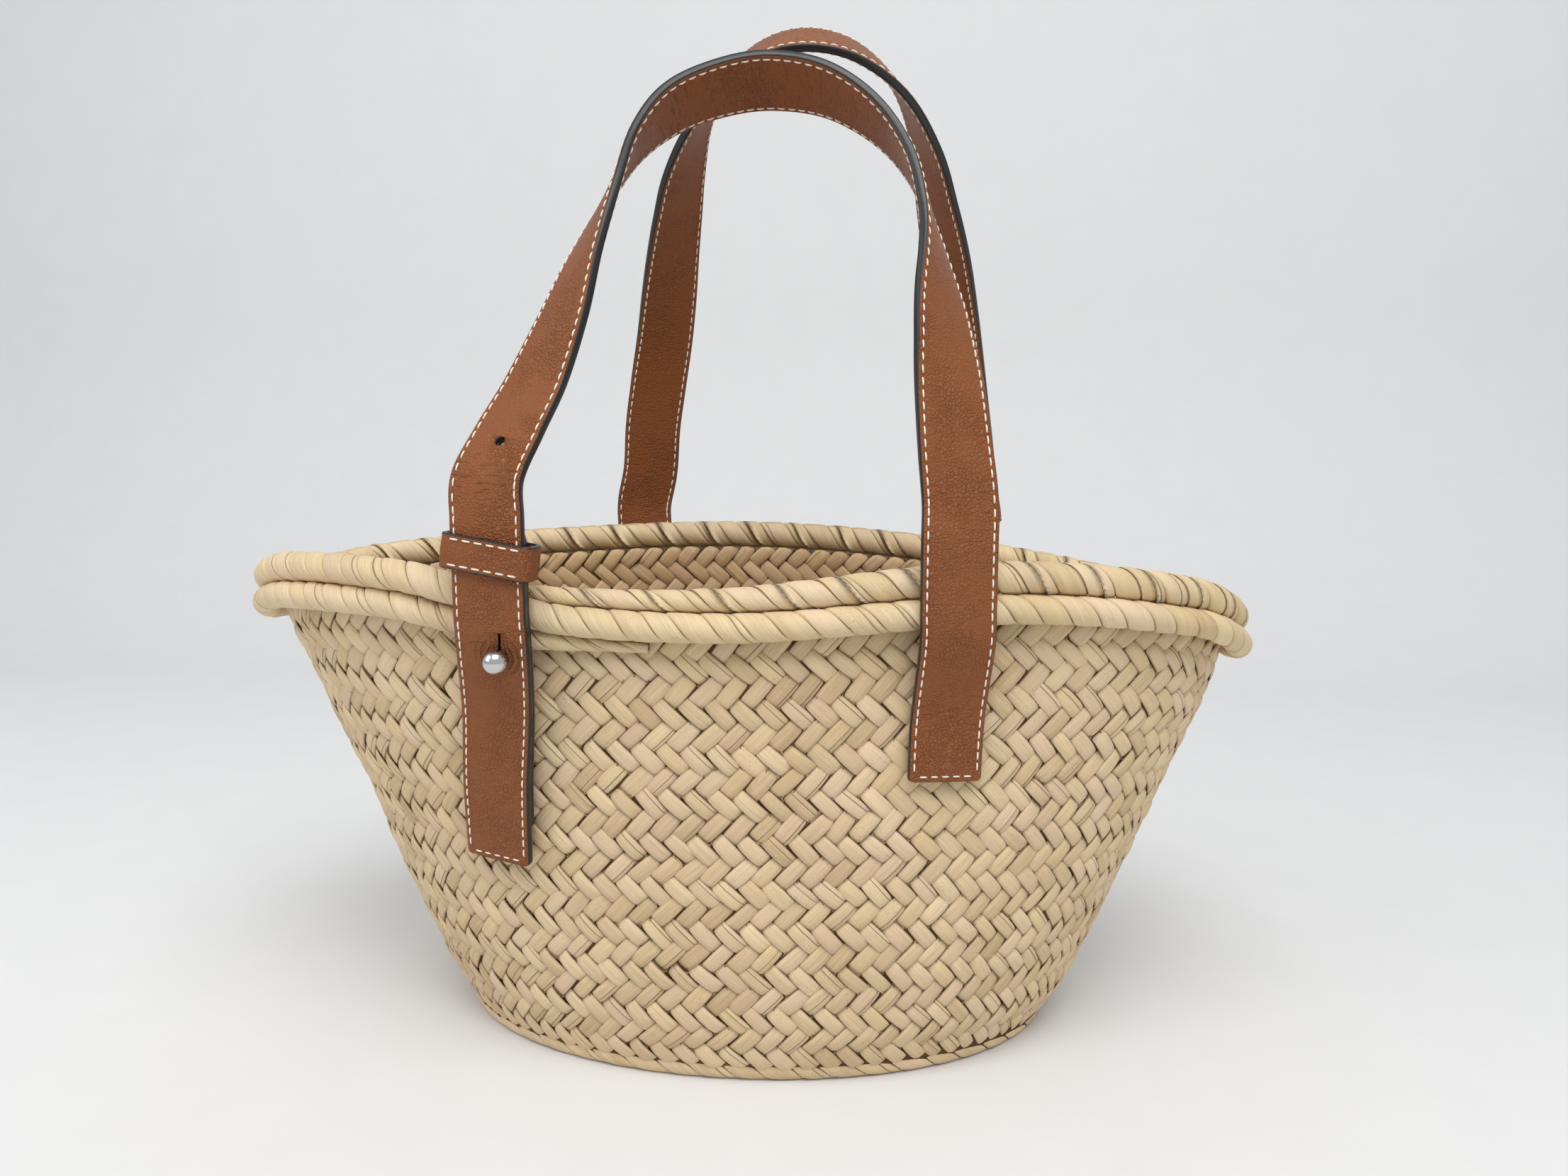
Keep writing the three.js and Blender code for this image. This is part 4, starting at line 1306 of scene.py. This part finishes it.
KEEPER_CORNER = 1.8
KEEPER_ROOM = 3.6 * GAP
KEEPER_BEND = 0.2
KEEPER_STITCH_PITCH = 4.0
KEEPER_STITCH_LENGTH = 3.0
KEEPER_STITCH_INSET = 1.5
AWAY_FROM_STUD = 40

def keeper_outline(width, depth, radius, steps=6):
    """A rounded rectangle's points and normals, counter-clockwise."""
    points, normals = [], []
    corners = ((1, -1, -90), (1, 1, 0), (-1, 1, 90), (-1, -1, 180))
    for sign_x, sign_y, start in corners:
        for turn in np.radians(start + np.linspace(0, 90, steps)):
            normal = np.array([math.cos(turn), math.sin(turn)])
            centre = np.array([sign_x * (width / 2 - radius), sign_y * (depth / 2 - radius)])
            points.append(centre + normal * radius)
            normals.append(normal)
    return np.array(points), np.array(normals)


def keeper_frame(curve):
    """The keeper's place and its width, depth and height directions, tilted on the strap."""
    place, _, wide, out = curve.frame_at(TAB_TOP_HEIGHT - KEEPER_DROP)
    up = np.cross(wide, out)
    tilt = math.radians(-KEEPER_TILT)
    turned = wide * math.cos(tilt) - up * math.sin(tilt)
    return place, turned, out, np.cross(turned, out)


def keeper_loop(name, middle, wide, out, up, width, depth, materials):
    """A closed leather loop round the strap and its tab, with painted edges."""
    path, normals = keeper_outline(width, depth, KEEPER_CORNER)
    half, thick = KEEPER_HEIGHT / 2, KEEPER_THICKNESS / 2
    front = [(half, thick * 0.3), (half - 0.15, thick * 0.8), (half - 0.55, thick),
             (half - 1.5, thick - 0.12), (half - 2.3, thick), (0, thick + 0.1)]
    face = front + [(-height, rise) for height, rise in front[-2::-1]]
    section = np.array(face + [(height, -rise) for height, rise in face[::-1]])
    painted = np.abs(section[:, 0]) > half - 0.6
    spots = path[:, None] + normals[:, None] * section[None, :, 1:2]
    heights = np.broadcast_to(section[None, :, 0], spots.shape[:2])
    points = middle + spots[..., 0:1] * wide + spots[..., 1:2] * out + heights[..., None] * up
    rings, count = spots.shape[:2]
    closed_rings = grid_faces(rings + 1, count, closed=True) % (rings * count)
    marks = np.tile(np.where(painted & np.roll(painted, -1), EDGE, LEATHER), rings)
    hide = np.stack([spots[..., 0] + AWAY_FROM_STUD, heights + AWAY_FROM_STUD, spots[..., 1]], -1)
    attributes = {"hide": hide.reshape(-1, 3), "bend": np.full(rings * count, KEEPER_BEND)}
    loop = mesh_object(name, points.reshape(-1, 3), closed_rings, materials, marks, attributes)
    face_outwards(loop)
    return loop


def keeper_seams(middle, wide, out, up, width, depth):
    """Stitch places, directions and normals of the two seams on the keeper's outer face."""
    row = int((width - 2 * KEEPER_STITCH_INSET) / KEEPER_STITCH_PITCH)
    across = (np.arange(row) + 0.5 - row / 2) * KEEPER_STITCH_PITCH
    height = KEEPER_HEIGHT / 2 - KEEPER_STITCH_INSET
    front = middle + wide * across[:, None] + out * (depth + KEEPER_THICKNESS) / 2
    spots = np.concatenate([front + up * height, front - up * height])
    return spots, np.broadcast_to(wide, spots.shape), np.broadcast_to(out, spots.shape)


class BagKeepers(bpy.types.Operator):
    """Makes the leather loops that hold the straps against their tabs"""

    bl_idname = "bag.keepers"
    bl_label = "Keepers"

    def execute(self, context):
        wishes = context.scene.bag_leather
        hide, edge = bpy.data.materials["smooth_leather"], bpy.data.materials["edge_paint"]
        thread = bpy.data.materials["seam_thread"]
        depth = STRAP_THICKNESS + TAB_THICKNESS + KEEPER_ROOM + KEEPER_THICKNESS
        width = STRAP_WIDTH + 2 * KEEPER_PLAY + KEEPER_THICKNESS
        for name, sizes in HANDLES.items():
            place, wide, out, up = keeper_frame(StrapCurve(*strap_path(**sizes)))
            middle = place - out * (TAB_THICKNESS + GAP) / 2
            loop = keeper_loop(f"{name}_keeper_loop", middle, wide, out, up, width, depth, [hide, edge])
            finish_piece(loop, "strap_leather", f"{name}_keeper")
            spots = keeper_seams(middle, wide, out, up, width, depth)
            seam = stitches(
                f"{name}_keeper_seam", *spots, KEEPER_STITCH_LENGTH, wishes.thread_diameter / MM, thread
            )
            finish_piece(seam, "strap_leather", f"{name}_keeper")
        return {"FINISHED"}


class BagStuds(bpy.types.Operator):
    """Turns the polished ball studs that button the straps to their tabs"""

    bl_idname = "bag.studs"
    bl_label = "Ball studs"

    def execute(self, context):
        wishes = context.scene.bag_leather
        finish = {"roughness": 0.14, "metallic": 1.0, "grain": 0.03}
        metal = once("polished_metal", plain_material, tuple(wishes.metal), **finish)
        radius, neck = STUD_DIAMETER / 2, NECK_DIAMETER / 2
        foot = math.sqrt(radius * radius - STUD_SEAT * STUD_SEAT)
        neck_length = STRAP_THICKNESS + GAP
        profile = [(0.0, 0.0), (neck, 0.0), (neck, neck_length - 0.2), (neck + 0.2, neck_length)]
        profile.append((foot - 0.3, neck_length))
        for turn in np.linspace(-math.atan2(STUD_SEAT, foot), math.pi / 2, 22):
            profile.append((radius * math.cos(turn), neck_length + STUD_SEAT + radius * math.sin(turn)))
        profile = np.array(profile)
        turns = np.linspace(0, 2 * np.pi, 41)[:-1]
        for name, sizes in HANDLES.items():
            curve = StrapCurve(*strap_path(**sizes))
            place, along, wide, out = stud_frame(curve)
            base = place - out * STRAP_THICKNESS / 2
            rings = profile[:, None]
            round_way = np.cos(turns)[None, :, None] * wide + np.sin(turns)[None, :, None] * along
            points = base + rings[..., 0:1] * round_way + rings[..., 1:2] * out
            faces = grid_faces(len(profile), len(turns), closed=True)
            obj = mesh_object(f"{name}_ball_stud", points.reshape(-1, 3), faces, [metal])
            face_outwards(obj)
            finish_piece(obj, "stud_metal", f"{name}_stud")
        return {"FINISHED"}


# Stage

FLOOR_FRONT = -2.0
FLOOR_SIDE = 3.0
BACKDROP_START = 0.55
BACKDROP_RADIUS = 0.35
BACKDROP_HEIGHT = 3.0
CAMERA_PLACE = (0.0527, -0.4421, 0.225)
CAMERA_TURN = (81.76, 0.0, 5.0)
CAMERA_LENS = 27.03


class BagStage(bpy.types.Operator):
    """Lays the pale floor with its backdrop and sets the lights and the camera"""

    bl_idname = "bag.stage"
    bl_label = "Stage"

    def execute(self, context):
        wishes = context.scene.bag_stage
        colour = tuple(wishes.floor)
        finish = {"roughness": 0.9, "grain_scale": 35.0, "grain": 0.02, "specular": 0.2}
        cloth = once("floor_cloth", plain_material, colour, **finish)
        radius, start = BACKDROP_RADIUS, BACKDROP_START
        sweep = [(FLOOR_FRONT, 0.0), (start, 0.0)]
        sweep += [(start + radius * math.sin(turn), radius - radius * math.cos(turn))
                  for turn in np.linspace(0.1, math.pi / 2, 12)]
        sweep.append((start + radius, BACKDROP_HEIGHT))
        points = [(x, depth, height) for depth, height in sweep for x in (-FLOOR_SIDE, FLOOR_SIDE)]
        faces = grid_faces(len(sweep), 2)
        floor = mesh_object("floor", np.array(points) / MM, faces, [cloth])
        self.light("key_light", (0.2, -0.7, 1.35), 1.0, wishes.key_power)
        self.light("fill_light", (-0.95, -0.5, 0.8), 0.9, wishes.fill_power)
        world = bpy.data.worlds.new("studio")
        world.use_nodes = True
        background = world.node_tree.nodes["Background"]
        background.inputs["Color"].default_value = (0.96, 0.98, 1.0, 1.0)
        background.inputs["Strength"].default_value = wishes.world
        context.scene.world = world
        context.scene.view_settings.view_transform = "Standard"
        camera = bpy.data.objects.new("camera", bpy.data.cameras.new("camera"))
        camera.data.lens = CAMERA_LENS
        camera.data.sensor_width = 36
        camera.data.clip_start = 0.01
        camera.location = CAMERA_PLACE
        camera.rotation_euler = [math.radians(turn) for turn in CAMERA_TURN]
        context.scene.collection.objects.link(camera)
        context.scene.camera = camera
        return {"FINISHED"}

    def light(self, name, place, size, power):
        """A square soft light that points at the bag."""
        lamp = bpy.data.lights.new(name, "AREA")
        lamp.size = size
        lamp.energy = power
        obj = bpy.data.objects.new(name, lamp)
        obj.location = place
        aim = Vector((0, 0, 0.15)) - Vector(place)
        obj.rotation_euler = aim.to_track_quat("-Z", "Y").to_euler()
        bpy.context.scene.collection.objects.link(obj)


class BagPanel(bpy.types.Panel):
    """Lists the bag's operators in the sidebar"""

    bl_idname = "VIEW3D_PT_basket_bag"
    bl_label = "Basket bag"
    bl_space_type = "VIEW_3D"
    bl_region_type = "UI"
    bl_category = "Basket bag"

    def draw(self, context):
        for operator in OPERATORS:
            self.layout.operator(operator.bl_idname)
        for group, settings in SETTINGS.items():
            for name in settings.__annotations__:
                self.layout.prop(getattr(context.scene, group), name)


SETTINGS = {
    "bag_plait": BagPlaitSettings,
    "bag_rim": BagRimSettings,
    "bag_leather": BagLeatherSettings,
    "bag_stage": BagStageSettings,
}
OPERATORS = (BagStage, BagPlait, BagRim, BagFoot, BagHandles, BagKeepers, BagStuds)


def register():
    for group in (*SETTINGS.values(), *OPERATORS, BagPanel):
        bpy.utils.register_class(group)
    for name, group in SETTINGS.items():
        setattr(bpy.types.Scene, name, bpy.props.PointerProperty(type=group))


def unregister():
    for name in SETTINGS:
        delattr(bpy.types.Scene, name)
    for group in (BagPanel, *reversed(OPERATORS), *SETTINGS.values()):
        bpy.utils.unregister_class(group)


def main():
    register()
    bpy.ops.bag.stage()
    bpy.ops.bag.plait()
    bpy.ops.bag.rim()
    bpy.ops.bag.foot()
    bpy.ops.bag.handles()
    bpy.ops.bag.keepers()
    bpy.ops.bag.studs()


if __name__ == "__main__":
    main()
